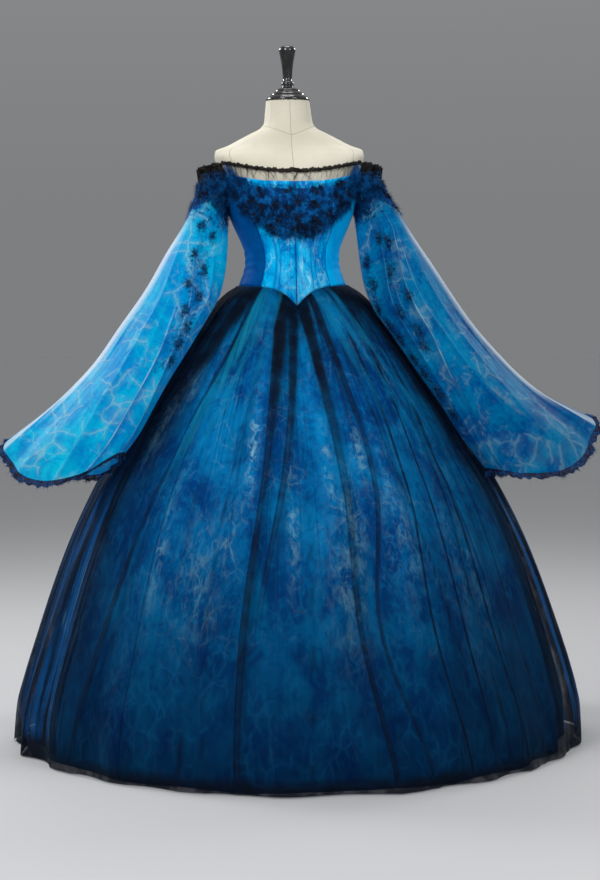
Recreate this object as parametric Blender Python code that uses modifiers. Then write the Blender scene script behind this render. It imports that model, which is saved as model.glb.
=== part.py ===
"""An off-the-shoulder ball gown with bell sleeves, standing on a limbless dress form, in metres with +Z up.

The front of the gown faces -Y. An angle round the body is counted in degrees from +X, so the centre front is 270.
Every cloth piece is an open sheet worked out from the sections of the body, given its thickness by Solidify.
"""

from collections import namedtuple

import bpy
import numpy as np

# Cloth and the gaps between the pieces.
CLOTH = 0.0014
NET = 0.0011
SEAM_GAP = 0.0003
FORM_GAP = 0.0030
BODICE_OUT = FORM_GAP + CLOTH

# Angles round the body.
FRONT = 270.0
BACK = 90.0
PRINCESS = 39.0
BACK_DART = 42.0
ARM_CORNER = 30.0

# Heights of the gown above the floor.
WAIST = 1.164
SKIRT_SEAM = 1.108
BASQUE_DROP = 0.050
BASQUE_WIDTH = 0.030
ARM_TOP = 1.354
NECK_FRONT = 1.381
NECK_BACK = 1.390
NECK_SIDE = 1.400
NECK_ARM = 1.387
EDGING_HEIGHT = 0.006
EDGING_WAVE = 0.0022
LEAN = -0.020
BERTHA_STAND = 0.0022
PANEL_COLUMNS = 6
PANEL_ROWS = 9
BERTHA_COLUMNS = 21
BERTHA_ROWS = 6
NET_REACH = 59.5
NET_COLUMNS = 19
EDGING_COLUMNS = 30
EDGING_ARM_COLUMNS = 21

# The skirts.
HEM_SHIFT = 0.010
OVER_FOLDS = 22
OVER_FOLD = 0.026
GATHER = 0.0045
UNDER_FOLDS = 14
UNDER_FOLD = 0.020
TULLE_STAND = 0.0034
OVER_COLUMNS = 56
UNDER_COLUMNS = 15

# The arms of the gown, measured from the middle of the body.
ARM_OUT = 0.222
ARM_ROUND = 0.040
ARM_CLEAR = BODICE_OUT + SEAM_GAP + NET
SHOULDER_WAVES = 9
SHOULDER_WAVE = 0.0035
SHOULDER_REACH = 84
SLEEVE_COLUMNS = 32
SLEEVE_ROWS = (1.0, 0.88, 0.74, 0.60, 0.46, 0.32, 0.20, 0.11, 0.05, 0.0)
HEAD_COLUMNS = 7
SLEEVE_BACK = 0.62
SLEEVE_FOLDS = 7
SLEEVE_FOLD = 0.006
SLEEVE_CREST = 0.016
SLEEVE_HOLLOW = 0.040
HEM_RUFFLE = 0.016
RUFFLE_WAVE = 0.005
RUFFLE_GAP = {"left": 0.0034, "right": 0.0022}

# The form and its stand.
TORSO_BOTTOM = 0.960
NECK_TOP = 1.554
POLE_RADIUS = 0.016
POLE_SIDES = 24
TORSO_STEP = 0.020
TORSO_COLUMNS = 26
TURN_STEPS = 20
BASE_RADIUS = 0.170
BASE_TOP = 0.024

BodySection = namedtuple("BodySection", "height half_width front back square")
BODY = (
    BodySection(0.960, 0.146, 0.095, 0.108, 2.2),
    BodySection(1.000, 0.156, 0.101, 0.116, 2.2),
    BodySection(1.060, 0.146, 0.100, 0.112, 2.2),
    BodySection(1.108, 0.1265, 0.094, 0.099, 2.1),
    BodySection(1.164, 0.1105, 0.087, 0.087, 2.1),
    BodySection(1.190, 0.1120, 0.088, 0.087, 2.1),
    BodySection(1.210, 0.1185, 0.091, 0.088, 2.15),
    BodySection(1.250, 0.1360, 0.103, 0.092, 2.2),
    BodySection(1.285, 0.1490, 0.114, 0.097, 2.3),
    BodySection(1.315, 0.1550, 0.118, 0.101, 2.3),
    BodySection(1.345, 0.1590, 0.113, 0.104, 2.4),
    BodySection(1.375, 0.1660, 0.103, 0.103, 2.6),
    BodySection(1.400, 0.1760, 0.092, 0.098, 2.9),
    BodySection(1.420, 0.1815, 0.081, 0.090, 3.0),
    BodySection(1.433, 0.1800, 0.072, 0.083, 2.7),
    BodySection(1.446, 0.1500, 0.065, 0.077, 2.3),
    BodySection(1.461, 0.1210, 0.061, 0.073, 2.2),
    BodySection(1.475, 0.0940, 0.059, 0.071, 2.1),
    BodySection(1.488, 0.0690, 0.057, 0.066, 2.0),
    BodySection(1.501, 0.0595, 0.055, 0.060, 2.0),
    BodySection(1.523, 0.0563, 0.053, 0.056, 2.0),
    BodySection(1.554, 0.0527, 0.051, 0.053, 2.0),
)

# The hem of each skirt: an ellipse, deeper behind than in front.
Hem = namedtuple("Hem", "height half_width front back")
UNDER_HEM = Hem(0.0015, 0.655, 0.685, 0.690)
OVER_HEM = Hem(0.0035, 0.674, 0.706, 0.712)

# How far the skirt has opened, from the waist seam (0) to its hem (1), at each share of its length.
Flare = namedtuple("Flare", "down opened")
FLARE = (
    Flare(0.000, 0.000),
    Flare(0.016, 0.050),
    Flare(0.045, 0.103),
    Flare(0.100, 0.190),
    Flare(0.190, 0.322),
    Flare(0.280, 0.446),
    Flare(0.370, 0.555),
    Flare(0.430, 0.634),
    Flare(0.580, 0.778),
    Flare(0.770, 0.910),
    Flare(0.865, 0.966),
    Flare(0.920, 0.990),
    Flare(1.000, 1.000),
)
# How the folds drift from even spacing: so many slow waves round the skirt, by so much, from such a start.
Drift = namedtuple("Drift", "waves amount start")
FOLD_DRIFT = (Drift(2, 1.1, 0.6), Drift(3, 0.9, 1.9), Drift(5, 0.7, 4.0))
OVER_ROWS = (1.0, 0.86, 0.69, 0.52, 0.36, 0.22, 0.115, 0.045, 0.0)
UNDER_ROWS = (1.0, 0.80, 0.58, 0.36, 0.22, 0.115, 0.045, 0.0)

# The upper edge of the bodice, by the angle away from the centre front.
TopEdge = namedtuple("TopEdge", "away height")
TOP_EDGE = (
    TopEdge(0, 1.356),
    TopEdge(20, 1.358),
    TopEdge(40, 1.366),
    TopEdge(60, 1.372),
    TopEdge(68, 1.345),
    TopEdge(78, 1.300),
    TopEdge(90, 1.284),
    TopEdge(102, 1.298),
    TopEdge(112, 1.342),
    TopEdge(120, 1.370),
    TopEdge(140, 1.364),
    TopEdge(180, 1.362),
)

# The lower and upper edges of the lace bertha over the bust, by the angle away from the centre front.
BerthaEdge = namedtuple("BerthaEdge", "away lower upper")
BERTHA = (
    BerthaEdge(0, 1.226, 1.345),
    BerthaEdge(15, 1.228, 1.347),
    BerthaEdge(30, 1.246, 1.352),
    BerthaEdge(45, 1.276, 1.360),
    BerthaEdge(58, 1.300, 1.366),
)

# A sleeve's flattened rings from shoulder to hem: the outer edge, the inner edge (both away from the body's
# middle), the depth of the front layer, and how far the cloth sags below the line between the two edges.
Ring = namedtuple("Ring", "down out_x out_y out_z in_x in_y in_z depth sag")
LEFT_RINGS = (
    Ring(0.00, 0.226, 0.000, 1.330, 0.158, 0.000, 1.284, 0.075, -0.030),
    Ring(0.10, 0.247, -0.004, 1.272, 0.163, -0.045, 1.225, 0.078, -0.010),
    Ring(0.22, 0.296, -0.010, 1.195, 0.170, -0.078, 1.160, 0.082, 0.004),
    Ring(0.33, 0.347, -0.016, 1.107, 0.186, -0.104, 1.092, 0.086, 0.008),
    Ring(0.44, 0.414, -0.022, 1.012, 0.231, -0.132, 1.017, 0.090, 0.014),
    Ring(0.56, 0.469, -0.028, 0.932, 0.277, -0.160, 0.951, 0.094, 0.022),
    Ring(0.67, 0.529, -0.034, 0.870, 0.320, -0.184, 0.889, 0.098, 0.032),
    Ring(0.78, 0.590, -0.040, 0.818, 0.360, -0.206, 0.824, 0.102, 0.044),
    Ring(0.89, 0.648, -0.046, 0.776, 0.398, -0.216, 0.760, 0.106, 0.058),
    Ring(1.00, 0.689, -0.050, 0.746, 0.430, -0.220, 0.720, 0.110, 0.075),
)
RIGHT_RINGS = (
    Ring(0.00, 0.226, 0.000, 1.330, 0.154, 0.000, 1.284, 0.075, -0.030),
    Ring(0.10, 0.252, -0.004, 1.274, 0.157, -0.045, 1.243, 0.078, -0.010),
    Ring(0.20, 0.287, -0.010, 1.221, 0.161, -0.072, 1.182, 0.082, 0.004),
    Ring(0.30, 0.330, -0.016, 1.156, 0.168, -0.098, 1.110, 0.086, 0.006),
    Ring(0.40, 0.376, -0.022, 1.083, 0.188, -0.118, 1.052, 0.090, 0.010),
    Ring(0.50, 0.424, -0.028, 1.010, 0.225, -0.138, 0.998, 0.094, 0.014),
    Ring(0.60, 0.476, -0.034, 0.947, 0.264, -0.160, 0.940, 0.098, 0.020),
    Ring(0.70, 0.533, -0.040, 0.888, 0.303, -0.182, 0.882, 0.102, 0.026),
    Ring(0.80, 0.591, -0.044, 0.844, 0.345, -0.202, 0.820, 0.106, 0.034),
    Ring(0.90, 0.656, -0.047, 0.812, 0.392, -0.214, 0.742, 0.110, 0.044),
    Ring(1.00, 0.716, -0.050, 0.784, 0.446, -0.220, 0.668, 0.112, 0.056),
)

# The turned cap and handle on the neck, from the top down.
Turn = namedtuple("Turn", "radius height")
NECK_CAP = (
    Turn(0.0000, 1.6875),
    Turn(0.0090, 1.6870),
    Turn(0.0165, 1.6850),
    Turn(0.0205, 1.6810),
    Turn(0.0208, 1.6770),
    Turn(0.0190, 1.6680),
    Turn(0.0155, 1.6500),
    Turn(0.0128, 1.6300),
    Turn(0.0112, 1.6090),
    Turn(0.0112, 1.6010),
    Turn(0.0150, 1.5990),
    Turn(0.0160, 1.5955),
    Turn(0.0150, 1.5920),
    Turn(0.0135, 1.5900),
    Turn(0.0200, 1.5850),
    Turn(0.0310, 1.5790),
    Turn(0.0318, 1.5760),
    Turn(0.0415, 1.5700),
    Turn(0.0423, 1.5670),
    Turn(0.0525, 1.5605),
    Turn(0.0535, 1.5565),
    Turn(0.0520, NECK_TOP + SEAM_GAP),
    Turn(0.0000, NECK_TOP + SEAM_GAP),
)
BASE = (
    Turn(0.0000, BASE_TOP),
    Turn(0.0300, BASE_TOP),
    Turn(0.0380, 0.0180),
    Turn(0.1500, 0.0120),
    Turn(0.1660, 0.0090),
    Turn(BASE_RADIUS, 0.0045),
    Turn(0.1680, 0.0000),
    Turn(0.0000, 0.0000),
)

PARTS = bpy.data.collections.new("ball_gown_on_dress_form")


def clear_scene():
    for item in list(bpy.data.objects):
        bpy.data.objects.remove(item)
    bpy.context.scene.collection.children.link(PARTS)


def finish(name, colour, roughness, metallic=0.0):
    material = bpy.data.materials.new(name)
    material.use_nodes = True
    shader = material.node_tree.nodes["Principled BSDF"]
    shader.inputs["Base Color"].default_value = (*colour, 1.0)
    shader.inputs["Roughness"].default_value = roughness
    shader.inputs["Metallic"].default_value = metallic
    material.diffuse_color = (*colour, 1.0)
    return material


def add_mesh(name, points, faces, material):
    mesh = bpy.data.meshes.new(name)
    mesh.from_pydata(points.tolist(), [], faces)
    mesh.materials.append(material)
    mesh.shade_smooth()
    item = bpy.data.objects.new(name, mesh)
    PARTS.objects.link(item)
    return item


def through(rows, column, at):
    """A smooth curve through one column of a table, with no overshoot between its rows (a monotone cubic)."""
    x = np.array([row[0] for row in rows], float)
    y = np.array([getattr(row, column) for row in rows], float)
    step = np.diff(x)
    rise = np.diff(y) / step
    slope = np.zeros(len(x))
    same_way = rise[:-1] * rise[1:] > 0
    total = np.where(same_way, rise[:-1] + rise[1:], 1.0)
    slope[1:-1] = np.where(same_way, 2 * rise[:-1] * rise[1:] / total, 0.0)
    slope[0], slope[-1] = rise[0], rise[-1]
    at = np.clip(at, x[0], x[-1])
    i = np.clip(np.searchsorted(x, at, side="right") - 1, 0, len(step) - 1)
    s = (at - x[i]) / step[i]
    start = y[i] * (1 + 2 * s) * (1 - s) ** 2 + slope[i] * step[i] * s * (1 - s) ** 2
    return start + y[i + 1] * s * s * (3 - 2 * s) + slope[i + 1] * step[i] * s * s * (s - 1)


def ease(value, low, high):
    s = np.clip((value - low) / (high - low), 0, 1)
    return s * s * (3 - 2 * s)


def body_point(height, angle, out=0.0):
    """The form's surface at a height and an angle, moved out: a superellipse whose front and back depths differ."""
    height, angle = np.broadcast_arrays(np.asarray(height, float), np.asarray(angle, float))
    side, depth = np.cos(np.radians(angle)), np.sin(np.radians(angle))
    power = 2 / through(BODY, "square", height)
    front, back = through(BODY, "front", height), through(BODY, "back", height)
    reach = np.where(depth < 0, front, back) + out
    x = (through(BODY, "half_width", height) + out) * np.sign(side) * np.abs(side) ** power
    y = reach * np.sign(depth) * np.abs(depth) ** power
    return np.stack([x + LEAN * np.clip(height - WAIST, 0, 1), y, height], axis=-1)


def from_front(angle):
    """How many degrees a direction lies away from the centre front, on either side."""
    return np.abs((np.asarray(angle) - FRONT + 180) % 360 - 180)


def waist_seam(angle):
    """The seam between bodice and skirt: level, but for the point of the basque at the centre front."""
    x = body_point(SKIRT_SEAM, angle)[..., 0]
    drop = BASQUE_DROP * np.exp(-np.abs(x) / BASQUE_WIDTH)
    return SKIRT_SEAM - drop * (1 - ease(from_front(angle), 50, 88))


def sheet(name, points, wall, material, closed=False):
    """A cloth piece: a grid of points on its outer side, rows upward and columns anticlockwise, thickened inward."""
    rows, columns = points.shape[:2]
    across = columns if closed else columns - 1
    faces = []
    for row in range(rows - 1):
        for column in range(across):
            beside = (column + 1) % columns
            low, high = row * columns, (row + 1) * columns
            faces.append((low + column, low + beside, high + beside, high + column))
    item = add_mesh(name, points.reshape(-1, 3), faces, material)
    solidify = item.modifiers.new("thickness", "SOLIDIFY")
    solidify.thickness = wall
    solidify.offset = -1
    return item


def turned(name, profile, material, centre=(0.0, 0.0)):
    """A turned piece: its half profile, top down on the outer side, carried round by Screw."""
    points = np.array([(turn.radius, 0.0, turn.height) for turn in profile])
    mesh = bpy.data.meshes.new(name)
    mesh.from_pydata(points.tolist(), [(i, i + 1) for i in range(len(profile) - 1)], [])
    mesh.materials.append(material)
    item = bpy.data.objects.new(name, mesh)
    PARTS.objects.link(item)
    item.location = (*centre, 0.0)
    screw = item.modifiers.new("turn", "SCREW")
    screw.steps = screw.render_steps = TURN_STEPS
    screw.use_merge_vertices = True
    screw.merge_threshold = SEAM_GAP / 3
    screw.use_smooth_shade = True
    return item


def torso(material):
    """The form: even rings up to the shoulders, then one at each section, closed flat at the neck and below."""
    low = np.arange(TORSO_BOTTOM, NECK_SIDE - SEAM_GAP, TORSO_STEP)
    high = [section.height for section in BODY if section.height >= NECK_SIDE]
    heights = np.concatenate([low, high])
    angles = np.linspace(0, 360, TORSO_COLUMNS, endpoint=False)
    rings = body_point(heights[:, None], angles[None, :])
    rows, columns = rings.shape[:2]
    faces = [tuple(range(columns))[::-1], tuple((rows - 1) * columns + i for i in range(columns))]
    for row in range(rows - 1):
        for column in range(columns):
            beside = (column + 1) % columns
            low, high = row * columns, (row + 1) * columns
            faces.append((low + column, low + beside, high + beside, high + column))
    return add_mesh("form_torso", rings.reshape(-1, 3), faces, material)


def bodice_panel(name, start, end, material):
    """One panel between two seams, from the waist seam up to the neckline or the armhole."""
    middle = body_point(WAIST, (start + end) / 2, BODICE_OUT)
    trim = np.degrees(SEAM_GAP / 2 / np.hypot(middle[0], middle[1]))
    angles = np.linspace(start + trim, end - trim, PANEL_COLUMNS)
    low = waist_seam(angles)
    high = through(TOP_EDGE, "height", from_front(angles))
    up = np.linspace(0, 1, PANEL_ROWS)[:, None]
    return sheet(name, body_point(low + (high - low) * up, angles[None, :], BODICE_OUT), CLOTH, material)


def fold_phase(angle, count):
    """The folds' running phase, a little uneven so that no two folds are of one width."""
    turn = np.radians(angle)
    return count * turn + sum(row.amount * np.sin(row.waves * turn + row.start) for row in FOLD_DRIFT)


def skirt_points(angles, rows, hem, out, folds):
    """Rows from hem to waist: the body's ring opened by the flare to the hem's ellipse, with folds along the radius."""
    down = np.array(rows)[:, None]
    opened = through(FLARE, "opened", down)
    seam = waist_seam(angles) - 2 * SEAM_GAP
    top = body_point(seam, angles, out)
    turn = np.radians(angles)
    depth = np.where(np.sin(turn) < 0, hem.front, hem.back)
    x = top[:, 0] * (1 - opened) + (hem.half_width * np.cos(turn) + HEM_SHIFT) * opened
    y = top[:, 1] * (1 - opened) + depth * np.sin(turn) * opened
    z = seam * (1 - down) + hem.height * down
    fold = folds(angles[None, :], down)
    return np.stack([x + fold * np.cos(turn), y + fold * np.sin(turn), z + 0 * x], axis=-1)


def over_folds(angle, down):
    """Broad folds that grow towards the hem, and twice as many gathers that fade below the waist."""
    phase = fold_phase(angle, OVER_FOLDS)
    uneven = 0.75 + 0.25 * np.sin(np.radians(4 * angle) + 1.0)
    broad = OVER_FOLD * uneven * (0.5 + 0.5 * np.cos(phase)) * down**0.9
    fade = ease(down, 0.0, 0.05) * (1 - ease(down, 0.15, 0.50))
    return broad + GATHER * (0.5 + 0.5 * np.cos(2 * phase)) * fade


def under_folds(angle, down):
    """Broad folds that sink inward, so that they stay clear of the net above them."""
    phase = fold_phase(angle, UNDER_FOLDS)
    return -UNDER_FOLD * (0.5 - 0.5 * np.cos(phase)) * ease(down, 0.03, 0.9)


def skirts(satin, net):
    """The satin underskirt in four panels, and the net overskirt in a front and a back."""
    trim = np.degrees(SEAM_GAP / 2 / through(BODY, "front", SKIRT_SEAM))
    for side, middle in {"right": 0, "back": 90, "left": 180, "front": 270}.items():
        angles = np.linspace(middle - 45 + trim, middle + 45 - trim, UNDER_COLUMNS)
        points = skirt_points(angles, UNDER_ROWS, UNDER_HEM, BODICE_OUT, under_folds)
        sheet(f"underskirt_{side}", points, CLOTH, satin)
    for side, middle in {"front": 270, "back": 90}.items():
        angles = np.linspace(middle - 90 + trim, middle + 90 - trim, OVER_COLUMNS)
        points = skirt_points(angles, OVER_ROWS, OVER_HEM, BODICE_OUT + TULLE_STAND, over_folds)
        sheet(f"overskirt_{side}", points, NET, net)


def neckline(away, at_arm=0.0):
    """The height of the gown's top edge: lowest at the centre front and outside the arms, highest at the corners."""
    front = NECK_FRONT + (NECK_SIDE - NECK_FRONT) * ease(away, 0, 60)
    back = NECK_BACK + (NECK_SIDE - NECK_BACK) * (1 - ease(away, 120, 180))
    return np.where(np.asarray(away) < 90, front, back) - (NECK_SIDE - NECK_ARM) * at_arm


def arm_arc(side, turn, height, out=0.0):
    """A line round the outside of one upper arm, from its front corner on the body (turn 90) to its back one (-90)."""
    ends = np.where(np.sin(np.radians(turn)) > 0, 180 + ARM_CORNER, 180 - ARM_CORNER)
    corner = body_point(height, ends, ARM_CLEAR)
    lean = LEAN * np.clip(np.asarray(height) - WAIST, 0, 1)
    reach, deep = np.abs(corner[..., 0] - lean), np.abs(corner[..., 1])
    across = np.abs(np.cos(np.radians(turn)))
    x = side * (reach + (ARM_OUT - reach + out) * across) + lean
    y = -np.sin(np.radians(turn)) * (deep + (ARM_ROUND + out) * across)
    return np.stack([x, y, np.asarray(height) + 0 * x], axis=-1)


def sleeve_top(side, turns):
    """The sleeve's top edge: round the outside of the upper arm, and down the armhole to the armpit inside it."""
    outer = arm_arc(side, turns, ARM_TOP)
    inner = np.cos(np.radians(turns)) < 1e-6
    away = ARM_CORNER * (1 - 2 * (np.mod(turns, 360) - 90) / 180)
    angles = 180 + away if side < 0 else -away
    edge = np.minimum(through(TOP_EDGE, "height", from_front(angles)), ARM_TOP)
    hugging = body_point(edge, angles, ARM_CLEAR)
    return np.where(inner[:, None], hugging, outer)


def sleeve_surface(side, rings, downs, turns):
    """Flattened rings from the outer edge (turn 0) by the front (90) to the inner edge (180), with long folds.

    The front layer has one crest beside a hollow, and both run from the elbow to the hem.
    """
    downs = np.asarray(downs, float)[:, None]
    radians = np.radians(turns)[None, :]
    outer, inner = (
        np.stack([through(rings, f"{place}_{axis}", downs) for axis in "xyz"], axis=-1)
        for place in ("out", "in")
    )
    half = (outer - inner) / 2
    level = half / np.linalg.norm(half, axis=-1, keepdims=True)
    forward = np.stack([level[..., 1], -level[..., 0], 0 * level[..., 0]], axis=-1)
    is_front = np.sin(radians) > 0
    depth = through(rings, "depth", downs) * np.where(is_front, 1.0, SLEEVE_BACK)
    grown = ease(downs, 0.15, 1.0)
    folds = SLEEVE_FOLD * np.cos(SLEEVE_FOLDS * radians + 1.5 * np.sin(radians) + 2.0 * downs)
    crest = SLEEVE_CREST * np.exp(-(((turns - 100) / 13) ** 2))
    hollow = SLEEVE_HOLLOW * np.exp(-(((turns - 128) / 19) ** 2))
    reach = depth * np.sin(radians) + grown * (folds + crest - hollow) * np.where(is_front, 1, -1)
    points = (outer + inner) / 2 + half * np.cos(radians)[..., None] + forward * reach[..., None]
    points[..., 2] -= through(rings, "sag", downs) * np.sin(radians) ** 2
    points[..., 0] *= side
    top = sleeve_top(side, turns)[None]
    return top + (points - top) * ease(downs, -0.02, 0.14)[..., None]


def on_arm(side, points):
    """Columns run from the outer edge by the front, which is anticlockwise on the left arm alone."""
    return points if side < 0 else points[:, ::-1]


def moved_out(points, distance):
    """The same grid, moved along its own normals."""
    normals = np.cross(np.gradient(points, axis=1), np.gradient(points, axis=0))
    return points + distance * normals / np.linalg.norm(normals, axis=-1, keepdims=True)


def sleeve_pieces(name, side, rings, chiffon, lace):
    """The bell, the lace band round its head, and the waved ruffle sewn round its hem."""
    turns = np.linspace(0, 360, SLEEVE_COLUMNS, endpoint=False)
    tube = sleeve_surface(side, rings, SLEEVE_ROWS, turns)
    sheet(f"sleeve_{name}", on_arm(side, tube), NET, chiffon, closed=True)
    head = np.roll(tube, HEAD_COLUMNS, axis=1)[-3:, : 2 * HEAD_COLUMNS + 1]
    sheet(f"sleeve_head_band_{name}", moved_out(on_arm(side, head), 2 * SEAM_GAP + NET), NET, lace)
    hem, above = tube[0], tube[1]
    hem = np.stack([hem, (hem + np.roll(hem, -1, axis=0)) / 2], axis=1).reshape(-1, 3)
    above = np.stack([above, (above + np.roll(above, -1, axis=0)) / 2], axis=1).reshape(-1, 3)
    onward = (hem - above) / np.linalg.norm(hem - above, axis=-1, keepdims=True)
    around = np.roll(hem, -1, axis=0) - np.roll(hem, 1, axis=0)
    aside = np.cross(onward, around)
    aside /= np.linalg.norm(aside, axis=-1, keepdims=True)
    wave = RUFFLE_WAVE * np.sin(np.arange(len(hem)) * np.pi / 2)[:, None]
    root = hem + onward * RUFFLE_GAP[name]
    edge = hem + onward * HEM_RUFFLE + aside * wave
    sheet(f"sleeve_hem_ruffle_{name}", on_arm(side, np.stack([edge, root])), NET, lace, closed=True)


def shoulder_ruffle(name, side, net):
    """The gathered heading that stands round one upper arm, between the sleeve and the neckline edging."""
    turns = np.linspace(-SHOULDER_REACH, SHOULDER_REACH, 3 * SHOULDER_WAVES + 1)
    low = ARM_TOP + SEAM_GAP * 2 + 0 * turns
    at_arm = np.cos(np.radians(turns))
    high = neckline(60.0, at_arm) - SEAM_GAP * 2
    wave = SHOULDER_WAVE * np.sin(np.arange(len(turns)) * 2 * np.pi / 3) * ease(at_arm, 0.05, 0.4)
    rows = [
        arm_arc(side, turns, low + (high - low) * up, 0.001 + wave * (0.4 + 0.6 * up))
        for up in (0.0, 0.5, 1.0)
    ]
    sheet(f"shoulder_ruffle_{name}", on_arm(side, np.stack(rows)), NET, net)


def neckline_pieces(net, edging):
    """The sheer yoke between bodice and edging, front and back, and the gathered edging round the whole neckline."""
    for side, middle in {"front": FRONT, "back": BACK}.items():
        angles = np.linspace(middle - NET_REACH, middle + NET_REACH, NET_COLUMNS)
        away = from_front(angles)
        low = through(TOP_EDGE, "height", away) + SEAM_GAP * 2
        high = neckline(away) - SEAM_GAP * 2
        up = np.linspace(0, 1, 3)[:, None]
        heights = low + (high - low) * up
        sheet(f"neck_net_{side}", body_point(heights, angles[None, :], BODICE_OUT), NET, net)
    front = np.linspace(180 + ARM_CORNER, 360 - ARM_CORNER, EDGING_COLUMNS, endpoint=False)
    back = np.linspace(ARM_CORNER, 180 - ARM_CORNER, EDGING_COLUMNS, endpoint=False)
    right = np.linspace(90, -90, EDGING_ARM_COLUMNS, endpoint=False)
    left = np.linspace(-90, 90, EDGING_ARM_COLUMNS, endpoint=False)
    rows = []
    for up in (0.0, EDGING_HEIGHT):
        loop = [
            body_point(neckline(from_front(front)) + up, front, ARM_CLEAR),
            arm_arc(1, right, neckline(60.0, np.cos(np.radians(right))) + up),
            body_point(neckline(from_front(back)) + up, back, ARM_CLEAR),
            arm_arc(-1, left, neckline(60.0, np.cos(np.radians(left))) + up),
        ]
        rows.append(np.concatenate(loop))
    points = np.stack(rows)
    outward = points[1] * (1, 1, 0)
    outward /= np.linalg.norm(outward, axis=-1, keepdims=True)
    wave = EDGING_WAVE * (0.5 + 0.5 * np.sin(np.arange(len(outward)) * 2 * np.pi / 3))
    points[1] += outward * wave[:, None]
    sheet("neck_edging", points, NET, edging, closed=True)


def bodice(satin, lace):
    """Eight panels between the seams, and the lace bertha over the bust."""
    panels = {
        "front_left": (FRONT - PRINCESS, FRONT),
        "front_right": (FRONT, FRONT + PRINCESS),
        "side_front_left": (180, FRONT - PRINCESS),
        "side_front_right": (FRONT + PRINCESS, 360),
        "side_back_left": (BACK + BACK_DART, 180),
        "side_back_right": (0, BACK - BACK_DART),
        "back_left": (BACK, BACK + BACK_DART),
        "back_right": (BACK - BACK_DART, BACK),
    }
    for name, (start, end) in panels.items():
        bodice_panel(f"bodice_{name}", start, end, satin)
    reach = BERTHA[-1].away
    angles = np.linspace(FRONT - reach, FRONT + reach, BERTHA_COLUMNS)
    away = from_front(angles)
    low, high = through(BERTHA, "lower", away), through(BERTHA, "upper", away)
    up = np.linspace(0, 1, BERTHA_ROWS)[:, None]
    points = body_point(low + (high - low) * up, angles[None, :], BODICE_OUT + BERTHA_STAND)
    sheet("bertha", points, NET, lace)


def stand(enamel):
    turned("form_base", BASE, enamel)
    length = TORSO_BOTTOM - BASE_TOP - 2 * SEAM_GAP
    middle = BASE_TOP + SEAM_GAP + length / 2
    bpy.ops.mesh.primitive_cylinder_add(
        vertices=POLE_SIDES, radius=POLE_RADIUS, depth=length, location=(0, 0, middle)
    )
    pole = bpy.context.object
    pole.name = "form_pole"
    pole.data.materials.append(enamel)
    pole.data.shade_smooth()
    for collection in list(pole.users_collection):
        collection.objects.unlink(pole)
    PARTS.objects.link(pole)


def build():
    clear_scene()
    linen = finish("linen", (0.80, 0.76, 0.66), 0.85)
    lacquer = finish("black_lacquer", (0.012, 0.011, 0.011), 0.18)
    enamel = finish("stand_enamel", (0.03, 0.03, 0.03), 0.40)
    satin = finish("print_satin", (0.02, 0.22, 0.62), 0.35)
    net = finish("black_net", (0.01, 0.02, 0.05), 0.70)
    chiffon = finish("chiffon", (0.03, 0.30, 0.72), 0.50)
    lace = finish("dark_lace", (0.02, 0.03, 0.10), 0.75)
    torso(linen)
    turned("form_neck_cap", NECK_CAP, lacquer, (LEAN * (NECK_TOP - WAIST), 0.0))
    stand(enamel)
    bodice(satin, lace)
    skirts(satin, net)
    neckline_pieces(net, lace)
    for name, side, rings in (("left", -1, LEFT_RINGS), ("right", 1, RIGHT_RINGS)):
        sleeve_pieces(name, side, rings, chiffon, lace)
        shoulder_ruffle(name, side, net)


build()
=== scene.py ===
"""The looks of an off-the-shoulder ball gown on a dress form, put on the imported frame, in metres with +Z up.

The front of the gown faces -Y. An angle round the body is in degrees from +X: the centre front is 270.
"""

from collections import namedtuple

import bmesh
import bpy
import numpy as np
from mathutils import Matrix


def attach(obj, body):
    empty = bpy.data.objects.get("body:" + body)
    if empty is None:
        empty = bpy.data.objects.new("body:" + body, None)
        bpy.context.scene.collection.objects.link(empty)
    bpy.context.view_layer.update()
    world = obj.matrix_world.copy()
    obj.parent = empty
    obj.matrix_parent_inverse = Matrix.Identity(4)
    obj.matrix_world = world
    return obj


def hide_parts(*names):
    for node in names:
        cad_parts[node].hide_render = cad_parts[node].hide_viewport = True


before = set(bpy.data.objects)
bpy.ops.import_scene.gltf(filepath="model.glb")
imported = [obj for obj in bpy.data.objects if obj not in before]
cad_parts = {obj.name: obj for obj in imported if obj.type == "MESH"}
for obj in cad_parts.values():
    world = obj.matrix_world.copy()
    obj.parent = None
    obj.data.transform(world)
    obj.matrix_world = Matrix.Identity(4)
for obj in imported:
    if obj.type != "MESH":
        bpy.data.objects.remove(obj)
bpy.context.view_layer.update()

# The body of the dress form: a bust of padded board with a cream linen cover drawn tight over it. The cover
# is sewn from panels, with seams down the centre front and back, over each breast and round the foot of the
# neck.
LEAN, WAIST = -0.020, 1.164
TORSO_BOTTOM, NECK_TOP = 0.960, 1.554
BodySection = namedtuple("BodySection", "height half_width front back square")
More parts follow.
